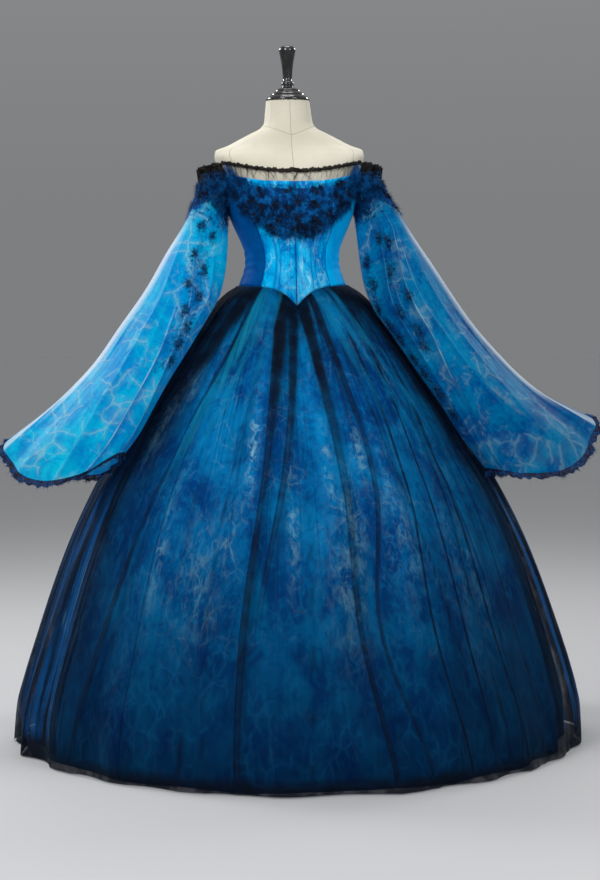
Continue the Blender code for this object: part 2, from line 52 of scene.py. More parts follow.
BODY = (
    BodySection(0.960, 0.146, 0.095, 0.108, 2.2),
    BodySection(1.000, 0.156, 0.101, 0.116, 2.2),
    BodySection(1.060, 0.146, 0.100, 0.112, 2.2),
    BodySection(1.108, 0.1265, 0.094, 0.099, 2.1),
    BodySection(1.164, 0.1105, 0.087, 0.087, 2.1),
    BodySection(1.190, 0.1120, 0.088, 0.087, 2.1),
    BodySection(1.210, 0.1185, 0.091, 0.088, 2.15),
    BodySection(1.250, 0.1360, 0.103, 0.092, 2.2),
    BodySection(1.285, 0.1490, 0.114, 0.097, 2.3),
    BodySection(1.315, 0.1550, 0.118, 0.101, 2.3),
    BodySection(1.345, 0.1590, 0.113, 0.104, 2.4),
    BodySection(1.375, 0.1660, 0.103, 0.103, 2.6),
    BodySection(1.400, 0.1760, 0.092, 0.098, 2.9),
    BodySection(1.420, 0.1815, 0.081, 0.090, 3.0),
    BodySection(1.433, 0.1800, 0.072, 0.083, 2.7),
    BodySection(1.446, 0.1500, 0.065, 0.077, 2.3),
    BodySection(1.461, 0.1210, 0.061, 0.073, 2.2),
    BodySection(1.475, 0.0940, 0.059, 0.071, 2.1),
    BodySection(1.488, 0.0690, 0.057, 0.066, 2.0),
    BodySection(1.501, 0.0595, 0.055, 0.060, 2.0),
    BodySection(1.523, 0.0563, 0.053, 0.056, 2.0),
    BodySection(1.554, 0.0527, 0.051, 0.053, 2.0),
)


def through(rows, column, at):
    """A smooth curve through one column of a table, with no overshoot between its rows (a monotone cubic)."""
    x = np.array([row[0] for row in rows], float)
    y = np.array([getattr(row, column) for row in rows], float)
    step = np.diff(x)
    rise = np.diff(y) / step
    slope = np.zeros(len(x))
    same_way = rise[:-1] * rise[1:] > 0
    total = np.where(same_way, rise[:-1] + rise[1:], 1.0)
    slope[1:-1] = np.where(same_way, 2 * rise[:-1] * rise[1:] / total, 0.0)
    slope[0], slope[-1] = rise[0], rise[-1]
    at = np.clip(at, x[0], x[-1])
    i = np.clip(np.searchsorted(x, at, side="right") - 1, 0, len(step) - 1)
    s = (at - x[i]) / step[i]
    start = y[i] * (1 + 2 * s) * (1 - s) ** 2 + slope[i] * step[i] * s * (1 - s) ** 2
    return start + y[i + 1] * s * s * (3 - 2 * s) + slope[i + 1] * step[i] * s * s * (s - 1)


def ease(value, low, high):
    """Nought below low and one above high, with a smooth slope between them: 3s squared less 2s cubed."""
    s = np.clip((value - low) / (high - low), 0, 1)
    return s * s * (3 - 2 * s)


def body_point(height, angle, out=0.0):
    """The form's surface at a height and an angle, moved out: a superellipse, deeper in front or behind."""
    height, angle = np.broadcast_arrays(np.asarray(height, float), np.asarray(angle, float))
    side, depth = np.cos(np.radians(angle)), np.sin(np.radians(angle))
    power = 2 / through(BODY, "square", height)
    front, back = through(BODY, "front", height), through(BODY, "back", height)
    reach = np.where(depth < 0, front, back) + out
    x = (through(BODY, "half_width", height) + out) * np.sign(side) * np.abs(side) ** power
    y = reach * np.sign(depth) * np.abs(depth) ** power
    return np.stack([x + LEAN * np.clip(height - WAIST, 0, 1), y, height], axis=-1)


def run(points, axis):
    """The length along a grid's rows or columns, added up from one edge."""
    steps = np.linalg.norm(np.diff(points, axis=axis), axis=-1)
    start = np.zeros_like(np.take(steps, [0], axis=axis))
    return np.cumsum(np.concatenate([start, steps], axis=axis), axis=axis)


def surface(name, points, material, slot, nodes=(), wall=0.0, closed=False, grain=None, **painted):
    """One piece from a grid of points: rows upward and columns anticlockwise, so that its faces look outward.

    Its map runs in metres along the rows and up the columns. Its grain is the direction round the piece and the
    share down it, and what is painted on it is kept as attributes.
    """
    rows, columns = points.shape[:2]
    row, column = np.mgrid[: rows - 1, : columns if closed else columns - 1]
    beside = (column + 1) % columns
    corners = [row * columns + column, row * columns + beside]
    corners += [(row + 1) * columns + beside, (row + 1) * columns + column]
    mesh = bpy.data.meshes.new(name)
    mesh.from_pydata(points.reshape(-1, 3), [], np.stack(corners, axis=-1).reshape(-1, 4))
    loop = np.concatenate([points, points[:, :1]], axis=1) if closed else points
    along, up = run(loop, 1), run(loop, 0)
    places = np.stack([along - along[:, -1:] / 2, up], axis=-1)
    map_corners = np.stack([places[:-1, :-1], places[:-1, 1:], places[1:, 1:], places[1:, :-1]], axis=2)
    mesh.uv_layers.new(name="cloth").data.foreach_set("uv", map_corners.astype(np.float32).ravel())
    if grain is not None:
        turn, down = np.broadcast_arrays(np.radians(grain[0]), grain[1])
        ways = np.stack([np.cos(turn), np.sin(turn), down], axis=-1).astype(np.float32)
        mesh.attributes.new("grain", "FLOAT_VECTOR", "POINT").data.foreach_set("vector", ways.ravel())
    for key, values in painted.items():
        values = np.broadcast_to(values, points.shape[:2]).astype(np.float32)
        mesh.attributes.new(key, "FLOAT", "POINT").data.foreach_set("value", values.ravel())
    return placed(name, mesh, material, nodes, wall)


def placed(name, mesh, material, nodes=(), wall=0.0):
    """Puts a mesh on the frame: smooth, with its material and thickness, in the place of its nodes there."""
    mesh.materials.append(material)
    mesh.shade_smooth()
    item = bpy.data.objects.new(name, mesh)
    bpy.context.scene.collection.objects.link(item)
    if wall:
        thickness = item.modifiers.new("thickness", "SOLIDIFY")
        thickness.thickness, thickness.offset = wall, -1
    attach(item, "root")
    if nodes:
        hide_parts(*nodes)
    return item


def add(tree, kind, sockets=(), **settings):
    """One shader node. Each socket takes a number, a colour or the output of another node."""
    node = tree.nodes.new("ShaderNode" + kind)
    for key, value in settings.items():
        setattr(node, key, value)
    for key, value in dict(sockets).items():
        if isinstance(value, bpy.types.NodeSocket):
            tree.links.new(value, node.inputs[key])
        else:
            node.inputs[key].default_value = value
    return node


def fresh(name):
    """An empty material, with its tree and its output node."""
    material = bpy.data.materials.new(name)
    material.use_nodes = True
    material.node_tree.nodes.clear()
    return material, material.node_tree, material.node_tree.nodes.new("ShaderNodeOutputMaterial")


def finished(material, output, shader):
    """The material, with this shader as what it shows."""
    material.node_tree.links.new(shader.outputs[0], output.inputs["Surface"])
    return material


def object_place(tree):
    """Where on the object a point lies, in metres."""
    return add(tree, "TexCoord").outputs["Object"]


def mapped(tree, place, **sockets):
    """A place moved by a Location or stretched by a Scale."""
    return add(tree, "Mapping", {"Vector": place, **sockets}).outputs["Vector"]


def noise(tree, place, scale, detail, **sockets):
    """Clouds of noise at a place, from nought to one: so many to the metre, with so many finer layers."""
    sockets = {"Vector": place, "Scale": scale, "Detail": detail, **sockets}
    return add(tree, "TexNoise", sockets).outputs["Fac"]


def spread(tree, value, low, high, start=0.0, end=1.0):
    """A value carried from one range to another, held at both ends, with a smooth slope."""
    sockets = {"Value": value, "From Min": low, "From Max": high, "To Min": start, "To Max": end}
    return add(tree, "MapRange", sockets, interpolation_type="SMOOTHSTEP").outputs["Result"]


def blend(tree, share, first, second):
    """Two colours mixed by a share."""
    return add(tree, "MixRGB", {"Fac": share, "Color1": first, "Color2": second}).outputs["Color"]


def painted_value(tree, key):
    """What was painted on a piece under this name."""
    return add(tree, "Attribute", attribute_name=key).outputs["Fac"]


def seam_line(tree, key, width):
    """One on a painted line and nought beyond its width: what is painted is the distance from the line."""
    away = add(tree, "Math", {0: painted_value(tree, key)}, operation="ABSOLUTE").outputs[0]
    return spread(tree, away, 0.0, width, 1.0, 0.0)


def most(tree, *values):
    """The greatest of several values."""
    result = values[0]
    for value in values[1:]:
        result = add(tree, "Math", {0: result, 1: value}, operation="MAXIMUM").outputs[0]
    return result


def times(tree, value, factor):
    """A value times another."""
    return add(tree, "Math", {0: value, 1: factor}, operation="MULTIPLY").outputs[0]


def plus(tree, value, other):
    """Two values added."""
    return add(tree, "Math", {0: value, 1: other}, operation="ADD").outputs[0]


def weave(tree, pitch, strength, warp_share=0.5):
    """Plain weave as a height: warp and weft ribs of the same pitch, in metres along the cloth."""
    place = add(tree, "UVMap", uv_map="cloth").outputs["UV"]
    scale = 2 * np.pi / 20 / pitch
    warp = add(tree, "TexWave", {"Vector": place, "Scale": scale}, bands_direction="X").outputs["Fac"]
    weft = add(tree, "TexWave", {"Vector": place, "Scale": scale}, bands_direction="Y").outputs["Fac"]
    height = add(tree, "Mix", {0: warp_share, 2: warp, 3: weft}, data_type="FLOAT").outputs[0]
    return add(tree, "Bump", {"Height": height, "Strength": strength, "Distance": pitch / 2}).outputs["Normal"]


def linen():
    """Cream linen: an even weave, slubs that darken a few threads, and a thin dark furrow along each seam."""
    material, tree, output = fresh("linen")
    place = object_place(tree)
    cloud = noise(tree, place, 9.0, 4.0)
    slub = noise(tree, mapped(tree, place, Scale=(60.0, 60.0, 900.0)), 1.0, 3.0)
    colour = blend(tree, spread(tree, cloud, 0.3, 0.7), (0.70, 0.655, 0.53, 1), (0.78, 0.735, 0.61, 1))
    colour = blend(tree, spread(tree, slub, 0.52, 0.75, 0.0, 0.25), colour, (0.55, 0.50, 0.38, 1))
    keys = ("centre_seam", "side_seam", "neck_seam")
    seams = most(tree, *(seam_line(tree, key, 0.0011) for key in keys))
    colour = blend(tree, times(tree, seams, 0.55), colour, (0.33, 0.29, 0.21, 1))
    sockets = {"Height": seams, "Strength": 0.7, "Distance": 0.0012, "Normal": weave(tree, 0.0009, 0.25)}
    furrow = add(tree, "Bump", sockets, invert=True).outputs["Normal"]
    sockets = {"Base Color": colour, "Roughness": 0.82, "Sheen Weight": 0.15, "Normal": furrow}
    return finished(material, output, add(tree, "BsdfPrincipled", sockets))


CHEST = 1.36
heights = np.concatenate(
    [np.linspace(TORSO_BOTTOM, CHEST, 70, endpoint=False), np.linspace(CHEST, NECK_TOP, 78)]
)
around = np.linspace(0, 360, 180, endpoint=False)
rings = body_point(heights[:, None], around[None, :])
from_front = np.abs((around - 90) % 360 - 180)
level = rings[..., 2]
breast_seam = 39 + 12 * ease(level, 1.30, 1.46)
torso = surface(
    "linen_torso", rings, linen(), "linen", ["form_torso"], closed=True,
    centre_seam=rings[..., 0] - LEAN * np.clip(level - WAIST, 0, 1),
    side_seam=np.radians(from_front[None, :] - breast_seam) * 0.1,
    neck_seam=level - 1.468 - 0.020 * np.abs(rings[..., 0] + 0.005) / 0.05,
)
top_ring = len(around) * (len(heights) - 1)
ends = bmesh.new()
ends.from_mesh(torso.data)
ends.verts.ensure_lookup_table()
ends.faces.new([ends.verts[i] for i in range(len(around))][::-1])
ends.faces.new([ends.verts[top_ring + i] for i in range(len(around))])
ends.to_mesh(torso.data)
ends.free()

# The cap on the neck and its handle: turned beech, dyed and lacquered black.
# A rod through the form holds it down.
Turn = namedtuple("Turn", "radius height")
CAP = (
    Turn(0.0000, 1.6875),
    Turn(0.0050, 1.6874),
    Turn(0.0090, 1.6870),
    Turn(0.0138, 1.6862),
    Turn(0.0172, 1.6845),
    Turn(0.0196, 1.6820),
    Turn(0.0208, 1.6780),
    Turn(0.0205, 1.6745),
    Turn(0.0190, 1.6680),
    Turn(0.0172, 1.6590),
    Turn(0.0155, 1.6500),
    Turn(0.0140, 1.6400),
    Turn(0.0128, 1.6300),
    Turn(0.0119, 1.6190),
    Turn(0.0112, 1.6090),
    Turn(0.0110, 1.6030),
    Turn(0.0128, 1.6012),
    Turn(0.0150, 1.5996),
    Turn(0.0160, 1.5965),
    Turn(0.0156, 1.5935),
    Turn(0.0142, 1.5915),
    Turn(0.0135, 1.5898),
    Turn(0.0165, 1.5872),
    Turn(0.0215, 1.5850),
    Turn(0.0265, 1.5832),
    Turn(0.0304, 1.5806),
    Turn(0.0312, 1.5782),
    Turn(0.0314, 1.5765),
    Turn(0.0352, 1.5748),
    Turn(0.0408, 1.5720),
    Turn(0.0420, 1.5696),
    Turn(0.0421, 1.5674),
    Turn(0.0462, 1.5658),
    Turn(0.0512, 1.5626),
    Turn(0.0532, 1.5592),
    Turn(0.0535, 1.5565),
    Turn(0.0527, 1.5549),
    Turn(0.0515, 1.5543),
    Turn(0.0000, 1.5543),
)


def turned(profile, sides, centre=0.0):
    """A half profile carried round the vertical axis, bottom row first. Its ends lie on the axis."""
    radius, height = np.array(profile[::-1]).T
    turn = np.linspace(0, 2 * np.pi, sides, endpoint=False)
    x, y = radius[:, None] * np.cos(turn) + centre, radius[:, None] * np.sin(turn)
    return np.stack([x, y, height[:, None] + 0 * x], axis=-1)


def joined_poles(item):
    """The rings of no size at both ends of a turned piece, drawn together into one point each."""
    work = bmesh.new()
    work.from_mesh(item.data)
    bmesh.ops.remove_doubles(work, verts=work.verts, dist=0.00002)
    work.to_mesh(item.data)
    work.free()
    return item


def lacquer(name, colour, roughness, coat):
    """Black lacquer or enamel: a clear coat over dark paint, with dust and fine wear in its roughness."""
    material, tree, output = fresh(name)
    place = object_place(tree)
    wear = noise(tree, place, 70.0, 5.0)
    grain = noise(tree, mapped(tree, place, Scale=(300.0, 300.0, 30.0)), 1.0, 3.0)
    tint = blend(tree, spread(tree, grain, 0.4, 0.7), (*colour, 1), (*(3 * c for c in colour), 1))
    rough = spread(tree, wear, 0.4, 0.75, roughness, roughness + 0.18)
    bump = add(tree, "Bump", {"Height": grain, "Strength": 0.06, "Distance": 0.0004}).outputs["Normal"]
    sockets = {
        "Base Color": tint,
        "Roughness": rough,
        "Coat Weight": coat,
        "Coat Roughness": 0.06,
        "Normal": bump,
    }
    return finished(material, output, add(tree, "BsdfPrincipled", sockets))


black_lacquer = lacquer("black_lacquer", (0.010, 0.009, 0.009), 0.14, 0.8)
cap = turned(CAP, 96, LEAN * (NECK_TOP - WAIST))
joined_poles(surface("lacquered_cap", cap, black_lacquer, "black_lacquer", ["form_neck_cap"], closed=True))

# The stand under the skirt: a steel tube in a turned foot of cast iron, both enamelled black.
# The skirt hides it.
BASE = (
    Turn(0.0000, 0.0240),
    Turn(0.0270, 0.0240),
    Turn(0.0300, 0.0234),
    Turn(0.0340, 0.0205),
    Turn(0.0380, 0.0180),
    Turn(0.0700, 0.0162),
    Turn(0.1100, 0.0141),
    Turn(0.1500, 0.0120),
    Turn(0.1600, 0.0109),
    Turn(0.1660, 0.0090),
    Turn(0.1695, 0.0062),
    Turn(0.1700, 0.0045),
    Turn(0.1690, 0.0012),
    Turn(0.1680, 0.0000),
    Turn(0.0000, 0.0000),
)
POLE = (
    Turn(0.0000, 0.9597),
    Turn(0.0155, 0.9597),
    Turn(0.0160, 0.9592),
    Turn(0.0160, 0.0248),
    Turn(0.0155, 0.0243),
    Turn(0.0000, 0.0243),
)
enamel = lacquer("stand_enamel", (0.020, 0.020, 0.020), 0.35, 0.1)
joined_poles(surface("enamelled_foot", turned(BASE, 96), enamel, "stand_enamel", ["form_base"], closed=True))
joined_poles(surface("enamelled_pole", turned(POLE, 48), enamel, "stand_enamel", ["form_pole"], closed=True))

# The underskirt: satin in four panels, cut as segments of a ring and sewn to the waist seam in soft folds.
# It is printed with rippling water, pale veins of light on azure, and it darkens to navy towards the hem,
# partly in the dye and partly as painted shade.
FRONT, BACK, PRINCESS, BACK_DART = 270.0, 90.0, 39.0, 42.0
SKIRT_SEAM, BASQUE_DROP, BASQUE_WIDTH, SEAM_GAP = 1.108, 0.050, 0.030, 0.0003
BODICE_OUT, HEM_SHIFT, UNDER_FOLD, UNDER_FOLDS = 0.0044, 0.010, 0.020, 14
Hem = namedtuple("Hem", "height half_width front back")
UNDER_HEM = Hem(0.0015, 0.655, 0.685, 0.690)
Flare = namedtuple("Flare", "down opened")
FLARE = (
    Flare(0.000, 0.000),
    Flare(0.016, 0.050),
    Flare(0.045, 0.103),
    Flare(0.100, 0.190),
    Flare(0.190, 0.322),
    Flare(0.280, 0.446),
    Flare(0.370, 0.555),
    Flare(0.430, 0.634),
    Flare(0.580, 0.778),
    Flare(0.770, 0.910),
    Flare(0.865, 0.966),
    Flare(0.920, 0.990),
    Flare(1.000, 1.000),
)
Drift = namedtuple("Drift", "waves amount start")
FOLD_DRIFT = (Drift(2, 1.1, 0.6), Drift(3, 0.9, 1.9), Drift(5, 0.7, 4.0))
Pool = namedtuple("Pool", "angle down wide long strength")
PALE_POOLS = (
    Pool(206, 0.28, 4, 0.08, 1.0),
    Pool(214, 0.20, 3, 0.05, 0.7),
    Pool(250, 0.34, 1.6, 0.08, 0.9),
    Pool(246, 0.52, 1.6, 0.07, 0.5),
    Pool(263, 0.47, 1.5, 0.10, 0.65),
    Pool(274, 0.34, 1.2, 0.06, 0.8),
    Pool(285, 0.34, 1.5, 0.05, 0.7),
    Pool(279, 0.48, 2.5, 0.08, 0.45),
    Pool(227, 0.56, 1.6, 0.12, 0.6),
    Pool(190, 0.45, 3, 0.16, 0.6),
    Pool(184, 0.75, 3, 0.16, 0.7),
    Pool(276, 0.62, 5, 0.14, 0.35),
    Pool(238, 0.60, 5, 0.12, 0.40),
    Pool(292, 0.50, 4, 0.12, 0.35),
    Pool(310, 0.62, 5, 0.15, 0.30),
    Pool(198, 0.70, 5, 0.20, 0.40),
    Pool(338, 0.42, 6, 0.12, 0.35),
    Pool(20, 0.40, 6, 0.12, 0.40),
    Pool(52, 0.58, 8, 0.16, 0.35),
    Pool(88, 0.36, 5, 0.14, 0.50),
    Pool(120, 0.62, 8, 0.16, 0.35),
    Pool(156, 0.42, 6, 0.12, 0.40),
)


def away_from_front(angle):
    """How many degrees a direction lies away from the centre front, on either side."""
    return np.abs((np.asarray(angle) - FRONT + 180) % 360 - 180)


def waist_seam(angle):
    """The seam between bodice and skirt: level, but for the point of the basque at the centre front."""
    x = body_point(SKIRT_SEAM, angle)[..., 0]
    drop = BASQUE_DROP * np.exp(-np.abs(x) / BASQUE_WIDTH)
    return SKIRT_SEAM - drop * (1 - ease(away_from_front(angle), 50, 88))


def fold_phase(angle, count):
    """The folds' running phase: so many turns round the skirt, with slow waves that vary their width."""
    turn = np.radians(angle)
    return count * turn + sum(row.amount * np.sin(row.waves * turn + row.start) for row in FOLD_DRIFT)


def skirt_points(angles, down, hem, out, fold):
    """Rows from hem to waist: the body's ring, opened by the flare to the hem's ellipse and folded outward."""
    opened = through(FLARE, "opened", down)
    seam = waist_seam(angles) - 2 * SEAM_GAP
    top = body_point(seam, angles, out)
    turn = np.radians(angles)
    depth = np.where(np.sin(turn) < 0, hem.front, hem.back)
    x = top[..., 0] * (1 - opened) + (hem.half_width * np.cos(turn) + HEM_SHIFT) * opened
    y = top[..., 1] * (1 - opened) + depth * np.sin(turn) * opened
    z = seam * (1 - down) + hem.height * down
    return np.stack([x + fold * np.cos(turn), y + fold * np.sin(turn), z], axis=-1)


def under_folds(angle, down):
    """Broad folds that sink inward, and between them shallow hollows that wander a little on their way down."""
    phase = fold_phase(angle, UNDER_FOLDS)
    broad = UNDER_FOLD * (0.5 - 0.5 * np.cos(phase)) * ease(down, 0.03, 0.9)
    wander = np.radians(angle) * 37 + 2.2 * np.sin(5 * down + 3 * np.radians(angle))
    return -broad - 0.0025 * (0.5 + 0.5 * np.sin(wander)) * ease(down, 0.05, 0.4)


def streaks(tree, fine, stretch, low, high, seed=0.0):
    """Fine lines that run down with the folds: noise on the grain, far finer round the piece than down it."""
    grain = add(tree, "Attribute", attribute_name="grain").outputs["Vector"]
    place = mapped(tree, grain, Location=(seed, seed, seed), Scale=(fine, fine, stretch))
    return spread(tree, noise(tree, place, 1.0, 4.0, Roughness=0.6), low, high)


def moved_by_noise(tree, place, scale, reach, detail):
    """A place pushed about by a cloud of noise, up to half its reach each way."""
    drift = add(tree, "TexNoise", {"Vector": place, "Scale": scale, "Detail": detail}).outputs["Color"]
    push = add(tree, "VectorMath", {0: drift, 1: (0.5, 0.5, 0.5)}, operation="SUBTRACT").outputs[0]
    push = add(tree, "VectorMath", {0: push, "Scale": reach}, operation="SCALE").outputs[0]
    return add(tree, "VectorMath", {0: place, 1: push}, operation="ADD").outputs[0]


def water_veins(tree, place, cell, width, low, high, seed):
    """Light through rippling water: the ragged borders of bent cells, seen where a slow cloud allows it."""
    place = mapped(tree, place, Location=(seed, 0.7 * seed, 1.3 * seed))
    bent = moved_by_noise(tree, place, 0.7 / cell, 0.9 * cell, 2.0)
    bent = moved_by_noise(tree, bent, 4.0 / cell, 0.14 * cell, 2.0)
    cells = add(tree, "TexVoronoi", {"Vector": bent, "Scale": 1 / cell}, feature="DISTANCE_TO_EDGE")
    edge = cells.outputs["Distance"]
    core = spread(tree, edge, 0.2 * width, width, 1.0, 0.0)
    glow = spread(tree, edge, 0.0, width * 5, 0.30, 0.0)
    seen = spread(tree, noise(tree, place, 0.55 / cell, 4.0), low, high)
    sockets = {0: plus(tree, core, glow), 1: seen}
    return add(tree, "Math", sockets, operation="MULTIPLY", use_clamp=True).outputs[0]


Veins = namedtuple("Veins", "cell width low high seed share")


def water_colour(tree, deep, azure, pale, stretch, veins, scale=7.0, ripple=0.5, clear=None):
    """Azure dye in soft clouds broken by small ripples, with several nets of pale veins laid over it.

    Clear is how plainly the veins show at each place.
    """
    place = mapped(tree, object_place(tree), Scale=(1.0, 1.0, stretch))
    cloud = noise(tree, place, scale, 6.0, Roughness=0.62, Distortion=0.6)
    colour = blend(tree, spread(tree, cloud, 0.36, 0.64), deep, azure)
    small = noise(tree, place, 5 * scale, 5.0, Roughness=0.65, Distortion=1.4)
    colour = blend(tree, times(tree, spread(tree, small, 0.50, 0.64), ripple), colour, azure)
    colour = blend(tree, times(tree, spread(tree, small, 0.36, 0.48, 1.0, 0.0), ripple), colour, deep)
    for net_of in veins:
        vein = water_veins(tree, place, net_of.cell, net_of.width, net_of.low, net_of.high, net_of.seed)
        share = times(tree, vein, net_of.share)
        colour = blend(tree, times(tree, share, clear) if clear else share, colour, pale)
    return colour, place


# The navy towards the hem is partly the dye and partly painted shade.
HemDyeAndShade = namedtuple("HemDyeAndShade", "low high share")
HEM_NAVY, HEM_VEIN = (0.0004, 0.011, 0.058, 1), (0.010, 0.19, 0.44, 1)


def print_satin(
    name, deep, azure, pale, veins, stretch=0.7, hem=None, seams=(), pools=0.0, scale=7.0, ripple=0.5
):
    """Printed satin: a smooth float weave with a soft gloss and a fine nap.

    Hem gives the heights between which it darkens to navy, partly dye and partly painted shade, and by
    how much. Seams are the painted lines it dips at, with painted shade beside them, and pools is how pale
    the mist is where that was painted.
    """
    material, tree, output = fresh(name)
    clear = spread(tree, painted_value(tree, "pool"), 0.0, 0.35, 0.40, 1.6) if hem else None
    colour, place = water_colour(tree, deep, azure, pale, stretch, veins, scale, ripple, clear)
    colour = blend(tree, times(tree, streaks(tree, 24.0, 2.5, 0.50, 0.72), 0.40), colour, deep)
    if pools:
        tall = mapped(tree, place, Scale=(1.0, 1.0, 0.45))
        mist = noise(tree, tall, 55.0, 7.0, Roughness=0.72, Distortion=0.5)
        share = times(tree, spread(tree, mist, 0.44, 0.62), painted_value(tree, "pool"))
        colour = blend(tree, times(tree, share, pools), colour, pale)
    if hem:
        # Darker towards the hem: partly the print's dye and partly painted shade.
        z = add(tree, "SeparateXYZ", {0: object_place(tree)}).outputs["Z"]
        colour = blend(tree, spread(tree, z, hem.low, hem.high, hem.share, 0.0), colour, HEM_NAVY)
        fine = water_veins(tree, place, 0.030, 0.060, 0.44, 0.58, 12.0)
        colour = blend(tree, times(tree, fine, 0.20), colour, HEM_VEIN)
    normal = weave(tree, 0.0007, 0.10, 0.8)
    if seams:
        # Painted shade beside each seam, then a dark line on the seam itself.
        shadow = most(tree, *(seam_line(tree, key, 0.006) for key in seams))
        colour = blend(tree, times(tree, shadow, 0.40), colour, deep)
        lines = most(tree, *(seam_line(tree, key, 0.0008) for key in seams))
        colour = blend(tree, times(tree, lines, 0.30), colour, (0.0, 0.07, 0.28, 1))
        sockets = {"Height": lines, "Strength": 0.8, "Distance": 0.0010, "Normal": normal}
        normal = add(tree, "Bump", sockets, invert=True).outputs["Normal"]
    sockets = {
        "Base Color": colour,
        "Roughness": 0.5,
        "Specular IOR Level": 0.02,
        "Specular Tint": (0.02, 0.45, 1.0, 1),
        "Sheen Weight": 0.04,
        "Sheen Roughness": 0.35,
        "Sheen Tint": (0.0, 0.40, 1.0, 1),
        "Normal": normal,
    }
    return finished(material, output, add(tree, "BsdfPrincipled", sockets))


skirt_satin = print_satin(
    "skirt_print_satin", (0.0003, 0.070, 0.30, 1), (0.0010, 0.27, 0.66, 1), (0.30, 0.66, 0.84, 1),
    (
        Veins(0.036, 0.026, 0.55, 0.62, 1.0, 0.34),
        Veins(0.020, 0.040, 0.58, 0.66, 8.0, 0.24),
        Veins(0.075, 0.014, 0.50, 0.60, 4.0, 0.16),
    ),
    stretch=0.55, hem=HemDyeAndShade(0.0, 0.90, 0.84), pools=1.0,
)
UNDER_HALF, UNDER_ROWS, UNDER_COLUMNS = 44.91, 72, 98
down_under = np.linspace(1, 0, UNDER_ROWS)[:, None]
for side, middle in {"right": 0, "back": 90, "left": 180, "front": 270}.items():
    angles = np.linspace(middle - UNDER_HALF, middle + UNDER_HALF, UNDER_COLUMNS)[None, :]
    points = skirt_points(angles, down_under, UNDER_HEM, BODICE_OUT, under_folds(angles, down_under))
    pool = sum(
        row.strength
        * np.exp(-((((angles - row.angle + 180) % 360 - 180) / row.wide) ** 2))
        * np.exp(-(((down_under - row.down) / row.long) ** 2))
        for row in PALE_POOLS
    )
    item = surface(
        f"satin_underskirt_{side}", points, skirt_satin, "print_satin", [f"underskirt_{side}"],
        wall=0.0012, grain=(angles, down_under), pool=pool,
    )

# The overskirt: black net in a front and a back width, far fuller than the waist it is gathered to. Where its
# folds lie on each other it is nearly black, and along some folds teal is painted as sheen where the folded net
# catches the light.
OVER_HEM = Hem(0.0035, 0.674, 0.706, 0.712)
OVER_FOLDS, OVER_FOLD, GATHER, NET_STAND = 22, 0.026, 0.0045, 0.0034
# Teal is painted sheen along a fold, where the folded net catches the light.
NetFold = namedtuple("NetFold", "waist third two_thirds hem start end half_width dark teal stand")
NET_FOLDS = (
    NetFold(259, 256, 252.5, 252, -0.1, 1.2, 0.012, 0.92, 0.0, 0.006),
    NetFold(267, 262, 255.5, 255, -0.1, 0.78, 0.009, 0.86, 0.0, 0.004),
    NetFold(274, 278, 277, 282, -0.1, 1.2, 0.010, 0.88, 0.0, 0.005),
    NetFold(281, 287, 281, 290, -0.1, 1.2, 0.007, 0.84, 0.0, 0.004),
    NetFold(240, 225, 218, 214, -0.1, 1.2, 0.013, 0.84, 0.0, 0.006),
    NetFold(228, 204, 197, 194, -0.1, 1.2, 0.019, 0.90, 0.0, 0.007),
    NetFold(215, 199, 190, 188, -0.1, 1.2, 0.016, 0.75, 0.0, 0.005),
    NetFold(297, 297, 294, 298, -0.1, 1.2, 0.0026, 0.88, 0.0, 0.003),
    NetFold(309, 303, 301, 303, -0.1, 1.1, 0.0028, 0.86, 0.0, 0.003),
    NetFold(290, 294, 298, 301, 0.02, 0.9, 0.0020, 0.75, 0.0, 0.002),
    NetFold(304, 309, 306, 309, 0.02, 1.2, 0.0022, 0.80, 0.0, 0.002),
    NetFold(318, 312, 310, 313, -0.1, 1.2, 0.004, 0.80, 0.0, 0.003),
    NetFold(329, 322, 318, 320, -0.1, 1.2, 0.007, 0.82, 0.0, 0.004),
    NetFold(338, 333, 330, 333, -0.1, 1.2, 0.012, 0.84, 0.0, 0.005),
    NetFold(350, 345, 341, 345, -0.1, 1.2, 0.020, 0.78, 0.0, 0.006),
    NetFold(241, 241, 241, 241, 0.80, 1.2, 0.0018, 0.80, 0.0, 0.002),
    NetFold(250, 246, 244, 246, 0.10, 1.2, 0.0022, 0.55, 0.0, 0.002),
    NetFold(264, 267, 267, 266, 0.30, 1.2, 0.0016, 0.50, 0.0, 0.002),
    NetFold(234, 213, 209, 207, 0.25, 1.2, 0.0030, 0.55, 0.0, 0.003),
    NetFold(232, 236, 232, 229, 0.35, 1.2, 0.0018, 0.45, 0.0, 0.002),
    NetFold(190, 186, 184, 183, -0.1, 1.2, 0.022, 0.80, 0.0, 0.006),
    NetFold(243, 227, 224, 224, 0.01, 0.50, 0.013, 0.0, 1.0, 0.003),
    NetFold(250, 232, 224, 222, 0.02, 0.60, 0.007, 0.0, 0.8, 0.002),
    NetFold(255, 243, 238, 236, 0.02, 0.55, 0.006, 0.0, 0.6, 0.002),
    NetFold(246, 235, 230, 228, 0.01, 0.40, 0.003, 0.0, 0.7, 0.002),
    NetFold(288, 300, 301, 302, 0.01, 0.32, 0.008, 0.0, 0.75, 0.002),
    NetFold(294, 309, 312, 312, 0.02, 0.42, 0.005, 0.0, 0.6, 0.002),
    NetFold(301, 317, 321, 321, 0.02, 0.40, 0.005, 0.0, 0.5, 0.002),
)


def curve_through(values, share):
    """A smooth line through evenly spaced values: a cubic whose slope at each comes from its neighbours."""
    v = np.array([2 * values[0] - values[1], *values, 2 * values[-1] - values[-2]], float)
    x = np.clip(share, 0, 1) * (len(values) - 1)
    i = np.minimum(x.astype(int), len(values) - 2)
    s = x - i
    a, b, c, d = v[i], v[i + 1], v[i + 2], v[i + 3]
    return b + s * (c - a) / 2 + s**2 * (a - 2.5 * b + 2 * c - d / 2) + s**3 * (1.5 * (b - c) + (d - a) / 2)


